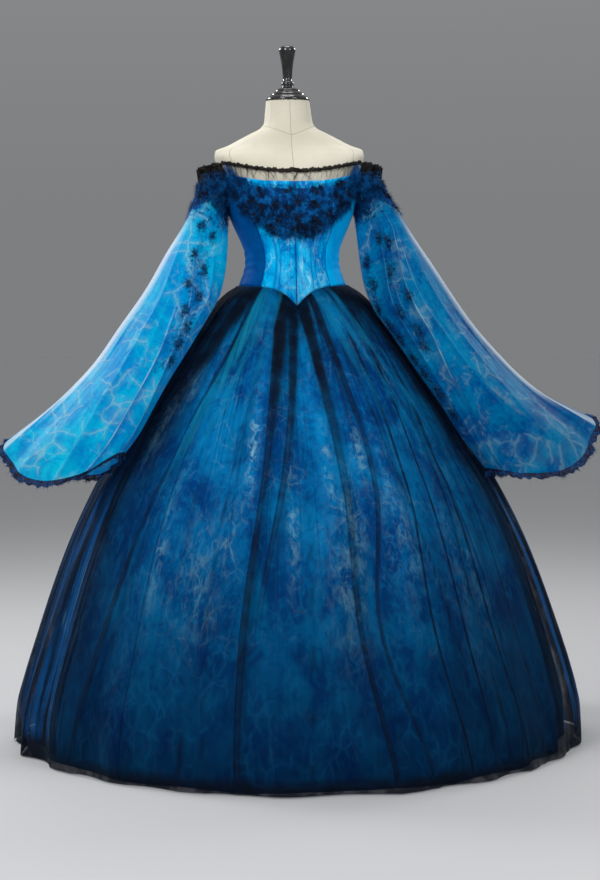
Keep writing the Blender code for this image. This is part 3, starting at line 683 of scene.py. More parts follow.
def packed_columns(lines, start, end, columns):
    """A row of directions for each row of cloth. Columns lie along the folds' lines, and closer together there.

    Each line keeps its own column from hem to top. Between two lines the columns' spacing is a sine's, finest
    at both.
    """
    edges = np.full((1, lines.shape[1]), 1.0)
    marks = np.concatenate([start * edges, lines[np.argsort(lines[:, -1])], end * edges])
    widths = np.diff(marks, axis=0).mean(axis=1) + 3.0
    share = np.concatenate([[0], np.cumsum(widths) / widths.sum()])
    even = np.linspace(0, 1, columns)
    k = np.clip(np.searchsorted(share, even, side="right") - 1, 0, len(widths) - 1)
    s = (even - share[k]) / (share[k + 1] - share[k])
    s = s - 0.80 * np.sin(2 * np.pi * s) / (2 * np.pi)
    return (marks[k] + (marks[k + 1] - marks[k]) * s[:, None]).T


def fold_band(across, half, thin):
    """A fold laid to one side: a sharp line on its left, a fainter one inside it and a faded edge.

    Across is in metres. Thin is how far its middle has opened to a single layer.
    """
    soft = np.maximum(0.7 * half, 0.0012)
    body = ease(across, -half - 0.0008, -half + 0.0008) * (1 - ease(across, half - soft, half + soft / 2))
    left = np.exp(-(((across + half) / 0.0024) ** 2))
    inner = 0.85 * np.exp(-(((across - 0.35 * half) / 0.0017) ** 2))
    return np.max([body * (1 - 0.40 * thin), left, inner], axis=0)


def painted_folds(angles, down, lines, folds):
    """What the folds add together: their darkness, their teal and how far they stand off."""
    radius = np.radians(1) * (0.115 + 0.575 * through(FLARE, "opened", down))
    dark, teal, stand = (np.zeros(angles.shape) for _ in range(3))
    for line, fold in zip(lines, folds):
        across = (angles - line[:, None]) * radius
        length = ease(down, fold.start - 0.06, fold.start + 0.02) * (1 - ease(down, fold.end - 0.2, fold.end))
        narrow = fold.half_width * (1.15 - 0.45 * ease(down, 0.1, 0.5) + 0.15 * np.sin(9 * down + fold.waist))
        thin = ease(down, 0.10, 0.36) * (0.75 + 0.25 * np.sin(7 * down + fold.hem)) * (fold.half_width > 0.006)
        band = fold_band(across, narrow, thin) * length
        dark = np.maximum(dark, fold.dark * band)
        teal = np.maximum(teal, fold.teal * band)
        stand = stand + fold.stand * np.exp(-((across / (fold.half_width + 0.004)) ** 2)) * length
    return dark, teal, stand


def over_folds(angle, down):
    """Broad folds that grow towards the hem, and twice as many gathers that fade below the waist."""
    phase = fold_phase(angle, OVER_FOLDS)
    uneven = 0.75 + 0.25 * np.sin(np.radians(4 * angle) + 1.0)
    broad = OVER_FOLD * uneven * (0.5 + 0.5 * np.cos(phase)) * down**0.9
    fade = ease(down, 0.0, 0.05) * (1 - ease(down, 0.15, 0.50))
    return broad + GATHER * (0.5 + 0.5 * np.cos(2 * phase)) * fade


def see_through(tree, hidden, shader, **tint):
    """As much of a shader as hides what is behind it, and clear for the rest."""
    gap = add(tree, "BsdfTransparent", tint)
    return add(tree, "MixShader", {0: hidden, 1: gap.outputs[0], 2: shader.outputs[0]})


def net(name, thread, fold_sheen=None, side_organza=None):
    """Sheer net: its threads hide as much as was painted, in streaks, and the other light passes through."""
    material, tree, output = fresh(name)
    mottle = noise(tree, object_place(tree), 26.0, 4.0)
    hidden = times(tree, painted_value(tree, "cover"), spread(tree, mottle, 0.3, 0.7, 0.85, 1.12))
    lines = times(tree, painted_value(tree, "gathers"), streaks(tree, 60.0, 1.3, 0.52, 0.68))
    finer = times(tree, painted_value(tree, "gathers"), streaks(tree, 150.0, 2.0, 0.55, 0.70, 3.0))
    hidden = most(tree, hidden, lines, times(tree, finer, 0.8))
    colour = (*thread, 1)
    if fold_sheen:
        # Painted sheen: teal along the folds, where the folded net catches the light.
        teal = painted_value(tree, "teal")
        colour = blend(tree, teal, colour, (*fold_sheen, 1))
        strands = spread(tree, streaks(tree, 90.0, 1.0, 0.35, 0.65, 7.0), 0.0, 1.0, 0.30, 0.80)
        hidden = most(tree, hidden, times(tree, teal, strands))
        blue = times(tree, painted_value(tree, "blue"), streaks(tree, 26.0, 1.6, 0.44, 0.62, 11.0))
        colour = blend(tree, blue, colour, (*side_organza, 1))
        glints = times(tree, painted_value(tree, "blue"), streaks(tree, 70.0, 9.0, 0.60, 0.72, 4.0))
        colour = blend(tree, times(tree, glints, 0.45), colour, (0.12, 0.28, 0.42, 1))
    hidden = add(tree, "Clamp", {"Value": hidden, "Max": 0.95}).outputs[0]
    sockets = {
        "Base Color": colour,
        "Roughness": 0.7,
        "Specular IOR Level": 0.04,
        "Sheen Weight": 0.02,
        "Sheen Tint": (0.1, 0.5, 0.9, 1),
        "Normal": weave(tree, 0.0014, 0.15),
    }
    shader = add(tree, "BsdfPrincipled", sockets)
    return finished(material, output, see_through(tree, hidden, shader))


black_net = net("black_net", (0.002, 0.004, 0.010), (0.004, 0.20, 0.32), (0.002, 0.060, 0.20))
CLOSE_ROWS = 0.16
down_over = np.concatenate([np.linspace(1, CLOSE_ROWS, 70, endpoint=False), np.linspace(CLOSE_ROWS, 0, 32)])
down_over = down_over[:, None]
BACK_FOLDS = [
    fold._replace(
        waist=357 - fold.waist, third=361 - fold.third, two_thirds=358 - fold.two_thirds, hem=362 - fold.hem
    )
    for fold in NET_FOLDS
]
NET_HALF, NET_COLUMNS = 89.91, 430
for side, middle, folds in (("front", FRONT, NET_FOLDS), ("back", BACK, BACK_FOLDS)):
    lines = np.stack([curve_through(fold[:4], down_over[:, 0]) for fold in folds])
    guides = np.array([fold.start < 0 for fold in folds])
    angles = packed_columns(lines[guides], middle - NET_HALF, middle + NET_HALF, NET_COLUMNS)
    dark, teal, stand = painted_folds(angles, down_over, lines, folds)
    fold = over_folds(angles, down_over) + stand * ease(down_over, 0, 0.1)
    points = skirt_points(angles, down_over, OVER_HEM, BODICE_OUT + NET_STAND, fold)
    away = np.abs(angles - middle)
    sides = ease(away, 38, 66) * (0.93 - 0.40 * ease(down_over, 0.16, 0.5))
    outermost = 0.93 * ease(away, 61, 68)
    shaded = 0.16 * ease(angles - middle, 14, 44)
    waist = 0.75 * np.exp(-((down_over / 0.07) ** 1.5)) * (0.4 + 0.6 * ease(away, 20, 44))
    hem_band = 0.92 * ease(down_over, 0.955, 0.985)
    sheer = 0.14 + 0.14 * ease(down_over, 0.45, 1.0) + waist + shaded
    cover = np.max([sheer, sides, outermost, hem_band + 0 * away], axis=0)
    cover = np.clip(np.maximum(cover, dark) * (1 - 0.75 * teal), 0, 0.95)
    below_hip = ease(down_over, 0.24, 0.50) * (1 - ease(down_over, 0.93, 0.97))
    blue = ease(away, 52, 66) * below_hip * (1 - dark)
    gathers = 0.36 + 0.62 * np.exp(-((down_over / 0.20) ** 1.3)) + 0.15 * ease(away, 30, 70)
    item = surface(
        f"net_overskirt_{side}", points, black_net, "black_net", [f"overskirt_{side}"],
        grain=(angles, down_over), cover=cover, teal=teal, blue=blue, gathers=gathers * (1 - 0.7 * teal),
    )

# The bodice: eight satin panels, boned and sewn to a point at the centre front. The middle panels, in front and
# behind, carry the print, with a boning channel down each front one. The side panels are nearly plain: deep
# blue on the left and azure on the right, partly the cloth's own tone and partly painted shade on the left and
# painted light on the right.
TopEdge = namedtuple("TopEdge", "away height")
TOP_EDGE = (
    TopEdge(0, 1.356),
    TopEdge(20, 1.358),
    TopEdge(40, 1.366),
    TopEdge(60, 1.372),
    TopEdge(68, 1.345),
    TopEdge(78, 1.300),
    TopEdge(90, 1.284),
    TopEdge(102, 1.298),
    TopEdge(112, 1.342),
    TopEdge(120, 1.370),
    TopEdge(140, 1.364),
    TopEdge(180, 1.362),
)
BONE = 20.0
PANELS = {
    "front_left": (FRONT - PRINCESS, FRONT),
    "front_right": (FRONT, FRONT + PRINCESS),
    "side_front_left": (180, FRONT - PRINCESS),
    "side_front_right": (FRONT + PRINCESS, 360),
    "side_back_left": (BACK + BACK_DART, 180),
    "side_back_right": (0, BACK - BACK_DART),
    "back_left": (BACK, BACK + BACK_DART),
    "back_right": (BACK - BACK_DART, BACK),
}
bodice_print = print_satin(
    "bodice_print_satin", (0.0003, 0.15, 0.52, 1), (0.001, 0.52, 0.96, 1), (0.30, 0.84, 1.0, 1),
    (Veins(0.030, 0.07, 0.50, 0.62, 2.0, 0.35), Veins(0.014, 0.10, 0.52, 0.64, 6.0, 0.40)),
    stretch=0.55, seams=("bone_seam", "edge_seam"), pools=0.9, scale=16.0, ripple=0.8,
)
PaleSpot = namedtuple("PaleSpot", "angle height wide tall strength")
PALE_SPOTS = (
    PaleSpot(276, 1.157, 3.0, 0.014, 1.0),
    PaleSpot(283, 1.118, 3.0, 0.018, 0.9),
    PaleSpot(281, 1.140, 6.0, 0.060, 0.45),
    PaleSpot(291, 1.205, 3.0, 0.040, 0.5),
    PaleSpot(255, 1.130, 6.0, 0.030, 0.3),
    PaleSpot(90, 1.150, 8.0, 0.050, 0.5),
)
side_veins = (Veins(0.09, 0.03, 0.55, 0.70, 3.0, 0.15),)
# Azure on the right and royal blue on the left: partly the cloth's tone, partly painted light and painted
# shade.
plain_azure = print_satin(
    "azure_satin", (0.0003, 0.38, 0.90, 1), (0.0005, 0.52, 1.0, 1), (0.05, 0.6, 0.95, 1), side_veins,
    seams=("edge_seam",),
)
plain_royal = print_satin(
    "royal_satin", (0.0003, 0.050, 0.21, 1), (0.0005, 0.095, 0.33, 1), (0.03, 0.3, 0.6, 1), side_veins,
    seams=("edge_seam",),
)


def bodice_panel(start, end, columns, rows):
    """Body points between two seams, with a raised channel over each bone and the edges rolled in at the seams.

    Shallow strains cross the waist, deepest at the side seam.
    """
    middle = body_point(WAIST, (start + end) / 2, BODICE_OUT)
    trim = np.degrees(SEAM_GAP / 2 / np.hypot(middle[0], middle[1]))
    angles = np.linspace(start + trim, end - trim, columns)
    away = away_from_front(angles)
    low, high = waist_seam(angles), through(TOP_EDGE, "height", away)
    heights = low + (high - low) * np.linspace(0, 1, rows)[:, None]
    edge = np.minimum(angles - start, end - angles) * np.radians(1) * 0.11
    channel = 0.0007 * np.exp(-(((away - BONE) / 2.4) ** 4)) * (away < 90)
    roll = -0.0006 * np.exp(-((edge / 0.003) ** 2))
    ripple = np.sin(heights * 330 + 3 * np.sin(np.radians(3 * angles)))
    strain = 0.0009 * ripple * np.exp(-(((heights - WAIST) / 0.035) ** 2)) * ease(away, 20, 70)
    points = body_point(heights, angles[None, :], BODICE_OUT + channel + roll + strain)
    down = (heights.max() - heights) * 2
    bone_seam = (np.abs(away - BONE) - 2.6) * np.radians(1) * 0.10
    pool = sum(
        spot.strength
        * np.exp(-(((angles - spot.angle) / spot.wide) ** 2) - ((heights - spot.height) / spot.tall) ** 2)
        for spot in PALE_SPOTS
    )
    return points, {"grain": (angles[None, :], down), "edge_seam": edge, "bone_seam": bone_seam, "pool": pool}


for name, (start, end) in PANELS.items():
    points, lines = bodice_panel(start, end, 34, 50)
    middle_panel = name in ("front_left", "front_right", "back_left", "back_right")
    satin = bodice_print if middle_panel else plain_royal if name.endswith("left") else plain_azure
    item = surface(
        f"satin_bodice_{name}", points, satin, "print_satin", [f"bodice_{name}"], wall=0.0012, **lines
    )

# The yoke of sheer black net between the bodice and the neckline, front and back, drawn up by the edging into
# gathers that fan downwards.
NECK_FRONT, NECK_BACK, NECK_SIDE, NECK_ARM = 1.381, 1.390, 1.400, 1.387


def neckline(away, at_arm=0.0):
    """The height of the gown's top edge: lowest in front and outside the arms, highest at the corners."""
    front = NECK_FRONT + (NECK_SIDE - NECK_FRONT) * ease(away, 0, 60)
    back = NECK_BACK + (NECK_SIDE - NECK_BACK) * (1 - ease(away, 120, 180))
    return np.where(np.asarray(away) < 90, front, back) - (NECK_SIDE - NECK_ARM) * at_arm


def fanned_gathers(angle, up, count, seed):
    """Dark lines where a gather lies double: each leans its own way, and is strongest at the drawn edge."""
    chance = np.random.default_rng(seed)
    total = np.zeros(np.broadcast(angle, up).shape)
    for place in np.linspace(angle.min(), angle.max(), count) + chance.normal(0, 0.9, count):
        lean, strength, wide = chance.normal(0, 4.5), chance.uniform(0.3, 1.2), chance.uniform(0.20, 0.42)
        line = place + lean * (1 - up) ** 1.3
        total += strength * np.exp(-(((angle - line) / wide) ** 2)) * (0.35 + 0.65 * up)
    return total


yoke_net = net("yoke_net", (0.008, 0.007, 0.007))
for side, middle in (("front", FRONT), ("back", BACK)):
    angles = np.linspace(middle - 59.5, middle + 59.5, 420)[None, :]
    away = away_from_front(angles)
    low, high = through(TOP_EDGE, "height", away) + 2 * SEAM_GAP, neckline(away) - 2 * SEAM_GAP
    up = np.linspace(0, 1, 12)[:, None]
    lines = fanned_gathers(angles, up, 64, 21 + int(middle))
    points = body_point(low + (high - low) * up, angles, BODICE_OUT + 0.0005 * np.clip(lines, 0, 1.5))
    cover = np.clip(0.10 + 0.95 * lines + 0.6 * ease(np.abs(angles - middle), 46, 60), 0, 0.93)
    item = surface(
        f"yoke_net_{side}", points, yoke_net, "black_net", [f"neck_net_{side}"],
        grain=(angles, 1 - up), cover=cover, gathers=0.30,
    )

# The edging round the neckline: narrow black lace on an elastic, frilled by it into small uneven waves.
ARM_OUT, ARM_ROUND, ARM_CORNER, ARM_CLEAR, ARM_TOP = 0.222, 0.040, 30.0, 0.0058, 1.354
EDGING_FOOT, EDGING_HEIGHT, EDGING_WAVES = -0.0040, 0.0060, 150


def arm_arc(side, turn, height, out=0.0):
    """A line round the outside of an upper arm, from its front corner on the body (90) to the back (-90)."""
    ends = np.where(np.sin(np.radians(turn)) > 0, 180 + ARM_CORNER, 180 - ARM_CORNER)
    corner = body_point(height, ends, ARM_CLEAR)
    lean = LEAN * np.clip(np.asarray(height) - WAIST, 0, 1)
    reach, deep = np.abs(corner[..., 0] - lean), np.abs(corner[..., 1])
    across = np.abs(np.cos(np.radians(turn)))
    x = side * (reach + (ARM_OUT - reach + out) * across) + lean
    y = -np.sin(np.radians(turn)) * (deep + (ARM_ROUND + out) * across)
    return np.stack([x, y, np.asarray(height) + 0 * x], axis=-1)


def lace(name, thread, ground, cover, painted=False):
    """Dark lace: matt thread, with a little of the blue ground between, and holes where its net is open.

    Where its cover is painted the holes open by that value, so that an edge is as ragged as its threads.
    """
    material, tree, output = fresh(name)
    place = object_place(tree)
    fine = noise(tree, place, 420.0, 3.0)
    patch = noise(tree, place, 60.0, 4.0, Roughness=0.6)
    colour = blend(tree, spread(tree, patch, 0.42, 0.62), (*thread, 1), (*ground, 1))
    bump = add(tree, "Bump", {"Height": fine, "Strength": 0.5, "Distance": 0.0006}).outputs["Normal"]
    sockets = {"Base Color": colour, "Roughness": 0.85, "Specular IOR Level": 0.08, "Normal": bump}
    shader = add(tree, "BsdfPrincipled", sockets)
    if cover >= 1:
        return finished(material, output, shader)
    hidden = spread(tree, fine, 0.40, 0.60, cover * 0.7, min(1.0, cover * 1.3))
    if painted:
        ragged = noise(tree, place, 130.0, 5.0, Roughness=0.7)
        level = plus(tree, painted_value(tree, "cover"), ragged)
        hidden = times(tree, hidden, spread(tree, level, 0.95, 1.15))
    return finished(material, output, see_through(tree, hidden, shader))


black_lace = lace("black_edging_lace", (0.006, 0.005, 0.005), (0.02, 0.016, 0.014), 0.95)
BODY_COLUMNS, ARM_COLUMNS = 320, 150
front = np.linspace(180 + ARM_CORNER, 360 - ARM_CORNER, BODY_COLUMNS, endpoint=False)
back = np.linspace(ARM_CORNER, 180 - ARM_CORNER, BODY_COLUMNS, endpoint=False)
right = np.linspace(90, -90, ARM_COLUMNS, endpoint=False)
left = np.linspace(-90, 90, ARM_COLUMNS, endpoint=False)
rows = []
for up in np.linspace(EDGING_FOOT, EDGING_HEIGHT, 6):
    loop = [
        body_point(neckline(away_from_front(front)) + up, front, ARM_CLEAR),
        arm_arc(1, right, neckline(60.0, np.cos(np.radians(right))) + up),
        body_point(neckline(away_from_front(back)) + up, back, ARM_CLEAR),
        arm_arc(-1, left, neckline(60.0, np.cos(np.radians(left))) + up),
    ]
    rows.append(np.concatenate(loop))
edging = np.stack(rows)
outward = edging * (1, 1, 0)
outward /= np.linalg.norm(outward, axis=-1, keepdims=True)
share = np.linspace(0, 1, edging.shape[1])
frill = np.sin(2 * np.pi * EDGING_WAVES * share + 3 * np.sin(40 * share)) + 0.6 * np.sin(2 * np.pi * 61 * share)
rise = np.abs(np.linspace(-0.7, 1, 6))[:, None]
edging = edging + outward * (0.0018 * (1 + 0.6 * frill) * rise)[..., None]
ragged = np.sin(2 * np.pi * 83 * share + 1.0) + 0.8 * np.sin(2 * np.pi * 37 * share)
ragged += 0.7 * np.sin(2 * np.pi * 191 * share)
edging[..., 2] += 0.0013 * ragged * rise
item = surface("neckline_edging", edging, black_lace, "dark_lace", ["neck_edging"], wall=0.0006, closed=True)

# The gathered headings that stand round the upper arms: black net doubled and ruffled, nearly opaque.
SIDES = {"left": -1, "right": 1}
RUFFLE_COLUMNS, RUFFLE_ROWS = 300, 12
ruffle_net = lace("black_ruffle_net", (0.003, 0.003, 0.003), (0.010, 0.010, 0.010), 0.95)


def on_arm(side, points):
    """The grid's columns in anticlockwise order. From the outer edge by the front, only the left's are."""
    return points if side < 0 else points[:, ::-1]


for name, side in SIDES.items():
    turns = np.linspace(-84, 84, RUFFLE_COLUMNS)
    at_arm = np.cos(np.radians(turns))
    low, high = ARM_TOP + 2 * SEAM_GAP, neckline(60.0, at_arm) - 2 * SEAM_GAP
    up = np.linspace(0, 1, RUFFLE_ROWS)[:, None]
    broad = np.sin(np.radians(turns) * 19 + 0.8 * np.sin(np.radians(turns) * 5) + 0.5 * up)
    sharp = np.abs(np.sin(np.radians(turns) * 23 + 1.2 * up + 2 * np.sin(np.radians(turns) * 7)))
    wave = (0.0036 * broad * (0.3 + 0.7 * up) + 0.0022 * sharp * up) * ease(at_arm, 0.05, 0.4)
    points = on_arm(side, arm_arc(side, turns[None, :], low + (high - low) * up, 0.001 + wave))
    points[..., 2] += on_arm(side, (0.0022 * np.sin(np.radians(turns) * 37) + 0.0016 * sharp) * up**2)
    item = surface(
        f"ruffled_heading_{name}", points, ruffle_net, "black_net", [f"shoulder_ruffle_{name}"], wall=0.0007
    )

# The sleeves: bells of printed chiffon, thin enough for the light to come through, which hang from the shoulder
# as from a raised arm and spread towards a wide waved hem. Long folds fan out from the gathered head.
SLEEVE_BACK, SLEEVE_FOLDS, SLEEVE_FOLD, SLEEVE_CREST, SLEEVE_HOLLOW = 0.62, 7, 0.006, 0.016, 0.040
Ring = namedtuple("Ring", "down out_x out_y out_z in_x in_y in_z depth sag")
LEFT_RINGS = (
    Ring(0.00, 0.226, 0.000, 1.330, 0.158, 0.000, 1.284, 0.075, -0.030),
    Ring(0.10, 0.247, -0.004, 1.272, 0.163, -0.045, 1.225, 0.078, -0.010),
    Ring(0.22, 0.296, -0.010, 1.195, 0.170, -0.078, 1.160, 0.082, 0.004),
    Ring(0.33, 0.347, -0.016, 1.107, 0.186, -0.104, 1.092, 0.086, 0.008),
    Ring(0.44, 0.414, -0.022, 1.012, 0.231, -0.132, 1.017, 0.090, 0.014),
    Ring(0.56, 0.469, -0.028, 0.932, 0.277, -0.160, 0.951, 0.094, 0.022),
    Ring(0.67, 0.529, -0.034, 0.870, 0.320, -0.184, 0.889, 0.098, 0.032),
    Ring(0.78, 0.590, -0.040, 0.818, 0.360, -0.206, 0.824, 0.102, 0.044),
    Ring(0.89, 0.648, -0.046, 0.776, 0.398, -0.216, 0.760, 0.106, 0.058),
    Ring(1.00, 0.689, -0.050, 0.746, 0.430, -0.220, 0.720, 0.110, 0.075),
)
RIGHT_RINGS = (
    Ring(0.00, 0.226, 0.000, 1.330, 0.154, 0.000, 1.284, 0.075, -0.030),
    Ring(0.10, 0.252, -0.004, 1.274, 0.157, -0.045, 1.243, 0.078, -0.010),
    Ring(0.20, 0.287, -0.010, 1.221, 0.161, -0.072, 1.182, 0.082, 0.004),
    Ring(0.30, 0.330, -0.016, 1.156, 0.168, -0.098, 1.110, 0.086, 0.006),
    Ring(0.40, 0.376, -0.022, 1.083, 0.188, -0.118, 1.052, 0.090, 0.010),
    Ring(0.50, 0.424, -0.028, 1.010, 0.225, -0.138, 0.998, 0.094, 0.014),
    Ring(0.60, 0.476, -0.034, 0.947, 0.264, -0.160, 0.940, 0.098, 0.020),
    Ring(0.70, 0.533, -0.040, 0.888, 0.303, -0.182, 0.882, 0.102, 0.026),
    Ring(0.80, 0.591, -0.044, 0.844, 0.345, -0.202, 0.820, 0.106, 0.034),
    Ring(0.90, 0.656, -0.047, 0.812, 0.392, -0.214, 0.742, 0.110, 0.044),
    Ring(1.00, 0.716, -0.050, 0.784, 0.446, -0.220, 0.668, 0.112, 0.056),
)
SleeveFold = namedtuple("SleeveFold", "head quarter half three_quarters hem start end width height light shade")
LEFT_FOLDS = (
    SleeveFold(95, 98, 126, 137, 127, 0.30, 1.3, 5, 0.006, 1.0, 1.0),
    SleeveFold(104, 114, 148, 173, 180, 0.06, 1.3, 5, 0.005, 0.35, 0.8),
    SleeveFold(64, 74, 91, 101, 104, 0.10, 1.3, 4, 0.004, 0.15, 0.35),
    SleeveFold(84, 88, 110, 121, 117, 0.20, 1.3, 4, 0.003, 0.0, 0.3),
    SleeveFold(44, 48, 56, 62, 66, 0.30, 1.3, 5, 0.003, 0.0, 0.2),
    SleeveFold(134, 150, 168, 186, 192, 0.10, 1.3, 5, 0.004, 0.1, 0.5),
    SleeveFold(22, 25, 29, 31, 34, 0.15, 1.3, 5, 0.003, 0.2, 0.1),
    SleeveFold(215, 219, 224, 228, 232, 0.10, 1.3, 6, 0.006, 0.15, 0.5),
    SleeveFold(250, 250, 256, 262, 262, 0.05, 1.3, 6, 0.006, 0.15, 0.5),
    SleeveFold(290, 291, 293, 298, 302, 0.10, 1.3, 6, 0.005, 0.15, 0.3),
    SleeveFold(330, 329, 327, 326, 325, 0.15, 1.3, 6, 0.005, 0.15, 0.2),
)
RIGHT_FOLDS = (
    SleeveFold(88, 110, 118, 140, 158, 0.04, 0.80, 4, 0.006, 0.6, 0.8),
    SleeveFold(84, 98, 103, 106, 104, 0.06, 0.65, 4, 0.005, 0.3, 0.4),
    SleeveFold(132, 136, 152, 166, 172, 0.05, 0.65, 5, 0.005, 0.12, 0.7),
    SleeveFold(66, 72, 79, 84, 88, 0.15, 0.65, 4, 0.003, 0.2, 0.3),
    SleeveFold(118, 126, 136, 152, 166, 0.08, 0.65, 4, 0.004, 0.12, 0.6),
    SleeveFold(44, 49, 55, 59, 62, 0.30, 0.65, 5, 0.003, 0.0, 0.2),
    SleeveFold(22, 25, 29, 31, 34, 0.15, 0.65, 5, 0.003, 0.0, 0.1),
    SleeveFold(210, 216, 223, 229, 232, 0.10, 0.65, 6, 0.006, 0.15, 0.5),
    SleeveFold(255, 256, 259, 261, 262, 0.05, 0.65, 6, 0.006, 0.15, 0.5),
    SleeveFold(296, 297, 299, 300, 302, 0.10, 0.65, 6, 0.005, 0.15, 0.3),
    SleeveFold(332, 331, 330, 329, 328, 0.15, 0.65, 6, 0.005, 0.15, 0.2),
)


def sleeve_top(side, turns):
    """The sleeve's top edge: round the outside of the upper arm, and down the armhole inside it."""
    outer = arm_arc(side, turns, ARM_TOP)
    inner = np.cos(np.radians(turns)) < 1e-6
    away = ARM_CORNER * (1 - 2 * (np.mod(turns, 360) - 90) / 180)
    angles = 180 + away if side < 0 else -away
    edge = np.minimum(through(TOP_EDGE, "height", away_from_front(angles)), ARM_TOP)
    hugging = body_point(edge, angles, ARM_CLEAR)
    return np.where(inner[..., None], hugging, outer)


def sleeve_folds(downs, turns, folds):
    """What the long folds add: their height, and their painted light line and one-sided shade."""
    height, light, shade = (np.zeros(np.broadcast(downs, turns).shape) for _ in range(3))
    for fold in folds:
        across = (turns - curve_through(fold[:5], downs) + 180) % 360 - 180
        length = ease(downs, fold.start, fold.start + 0.2)
        height += fold.height * np.exp(-((np.abs(across) / fold.width) ** 1.5)) * length
        fade = 1 - ease(downs, fold.end - 0.3, fold.end)
        thread = np.exp(-((across / (0.5 + 0.8 * downs)) ** 2)) * length * fade
        light = np.maximum(light, fold.light * thread)
        under = ease(across, 0.0, 0.8) * np.exp(-((np.abs(across) / (3.2 * fold.width)) ** 1.5))
        shade = np.maximum(shade, fold.shade * under * length)
    return height, light, shade


def sleeve_surface(side, rings, folds, downs, turns):
    """Flattened rings from the outer edge (turn 0) by the front (90) to the inner edge (180), with long folds.

    The front layer has one crest beside a hollow. Each fold of the table is a soft ridge on its own line.
    """
    radians = np.radians(turns)
    outer, inner = (
        np.stack([through(rings, f"{place}_{axis}", downs) for axis in "xyz"], axis=-1)
        for place in ("out", "in")
    )
    half = (outer - inner) / 2
    level = half / np.linalg.norm(half, axis=-1, keepdims=True)
    forward = np.stack([level[..., 1], -level[..., 0], 0 * level[..., 0]], axis=-1)
    is_front = np.sin(radians) > 0
    depth = through(rings, "depth", downs) * np.where(is_front, 1.0, SLEEVE_BACK)
    grown = ease(downs, 0.15, 1.0)
    wave = SLEEVE_FOLD * np.cos(SLEEVE_FOLDS * radians + 1.5 * np.sin(radians) + 2.0 * downs)
    crest = SLEEVE_CREST * np.exp(-(((turns - 100) / 13) ** 2))
    hollow = SLEEVE_HOLLOW * np.exp(-(((turns - 128) / 19) ** 2))
    small = 0.0004 * np.sin(radians * 31 + 3 * np.sin(radians * 3 + 4 * downs)) * ease(downs, 0.05, 0.5)
    height = sleeve_folds(downs, turns, folds)[0] + small
    reach = depth * np.sin(radians) + (grown * (wave + crest - hollow) + height) * np.where(is_front, 1, -1)
    points = (outer + inner) / 2 + half * np.cos(radians)[..., None] + forward * reach[..., None]
    points[..., 2] -= through(rings, "sag", downs) * np.sin(radians) ** 2
    points[..., 0] *= side
    top = sleeve_top(side, turns)
    return top + (points - top) * ease(downs, -0.02, 0.14)[..., None]


def chiffon(name, shaded, deep, azure, pale, veins, stretch):
    """Printed chiffon: a fine crepe that scatters light from both sides and lets a little straight through.

    The folds' lines catch the light where the cloth lies double, as painted highlights, and beside them it is
    deeper, partly the double layer and partly painted shade. Where a rim was painted it shines pale as a
    painted highlight as it turns away from the eye.
    """
    material, tree, output = fresh(name)
    colour, place = water_colour(tree, deep, azure, pale, stretch, veins, 10.0)
    colour = blend(tree, times(tree, streaks(tree, 7.0, 1.4, 0.50, 0.74), 0.30), colour, azure)
    colour = blend(tree, times(tree, streaks(tree, 11.0, 1.2, 0.54, 0.76, 5.0), 0.30), colour, deep)
    colour = blend(tree, times(tree, painted_value(tree, "shade"), 0.75), colour, shaded)
    glints = spread(tree, streaks(tree, 6.0, 7.0, 0.38, 0.60, 2.0), 0.0, 1.0, 0.25, 1.0)
    bright = times(tree, painted_value(tree, "light"), glints)
    colour = blend(tree, times(tree, bright, 0.85), colour, (0.55, 0.90, 1.0, 1))
    aslant = add(tree, "LayerWeight", {"Blend": 0.5}).outputs["Facing"]
    sheen = times(tree, spread(tree, aslant, 0.30, 0.62), painted_value(tree, "rim"))
    colour = blend(tree, sheen, colour, (0.88, 0.97, 1.0, 1))
    tufts = noise(tree, place, 85.0, 5.0, Roughness=0.7)
    level = plus(tree, painted_value(tree, "worked"), tufts)
    colour = blend(tree, spread(tree, level, 0.86, 1.20, 0.0, 0.92), colour, (0.002, 0.032, 0.12, 1))
    normal = weave(tree, 0.0008, 0.12)
    sockets = {
        "Base Color": colour,
        "Roughness": 0.5,
        "Specular IOR Level": 0.12,
        "Specular Tint": (0.05, 0.60, 1.0, 1),
        "Sheen Weight": 0.07,
        "Sheen Roughness": 0.22,
        "Sheen Tint": (0.08, 0.62, 1.0, 1),
        "Normal": normal,
    }
    shader = add(tree, "BsdfPrincipled", sockets)
    glow = add(tree, "BsdfTranslucent", {"Color": colour, "Normal": normal})
    both = add(tree, "MixShader", {0: 0.40, 1: shader.outputs[0], 2: glow.outputs[0]})
    return finished(material, output, see_through(tree, 0.93, both, Color=(0.12, 0.55, 1.0, 1)))


# The left sleeve's colours are brighter than the right's: painted light on the left, where light comes through
# it from behind, and painted shade on the right.
left_chiffon = chiffon(
    "left_chiffon",
    (0.0005, 0.13, 0.45, 1), (0.001, 0.37, 0.80, 1), (0.002, 0.72, 1.0, 1), (0.44, 0.78, 0.82, 1),
    (Veins(0.055, 0.048, 0.43, 0.53, 3.0, 0.60), Veins(0.030, 0.05, 0.53, 0.63, 9.0, 0.30)), 1.0,
)
right_chiffon = chiffon(
    "right_chiffon",
    (0.0002, 0.045, 0.20, 1), (0.0003, 0.115, 0.40, 1), (0.001, 0.36, 0.68, 1), (0.36, 0.63, 0.68, 1),
    (Veins(0.046, 0.085, 0.50, 0.60, 7.0, 0.46), Veins(0.026, 0.09, 0.55, 0.65, 2.0, 0.26)), 0.9,
)
sleeve_downs = np.concatenate([np.linspace(1, 0.2, 52, endpoint=False), np.linspace(0.2, 0, 22)])[:, None]
SLEEVE_CUTS = (
    ("left", -1, LEFT_RINGS, LEFT_FOLDS, left_chiffon),
    ("right", 1, RIGHT_RINGS, RIGHT_FOLDS, right_chiffon),
)
SleeveLace = namedtuple("SleeveLace", "sleeve turn down")
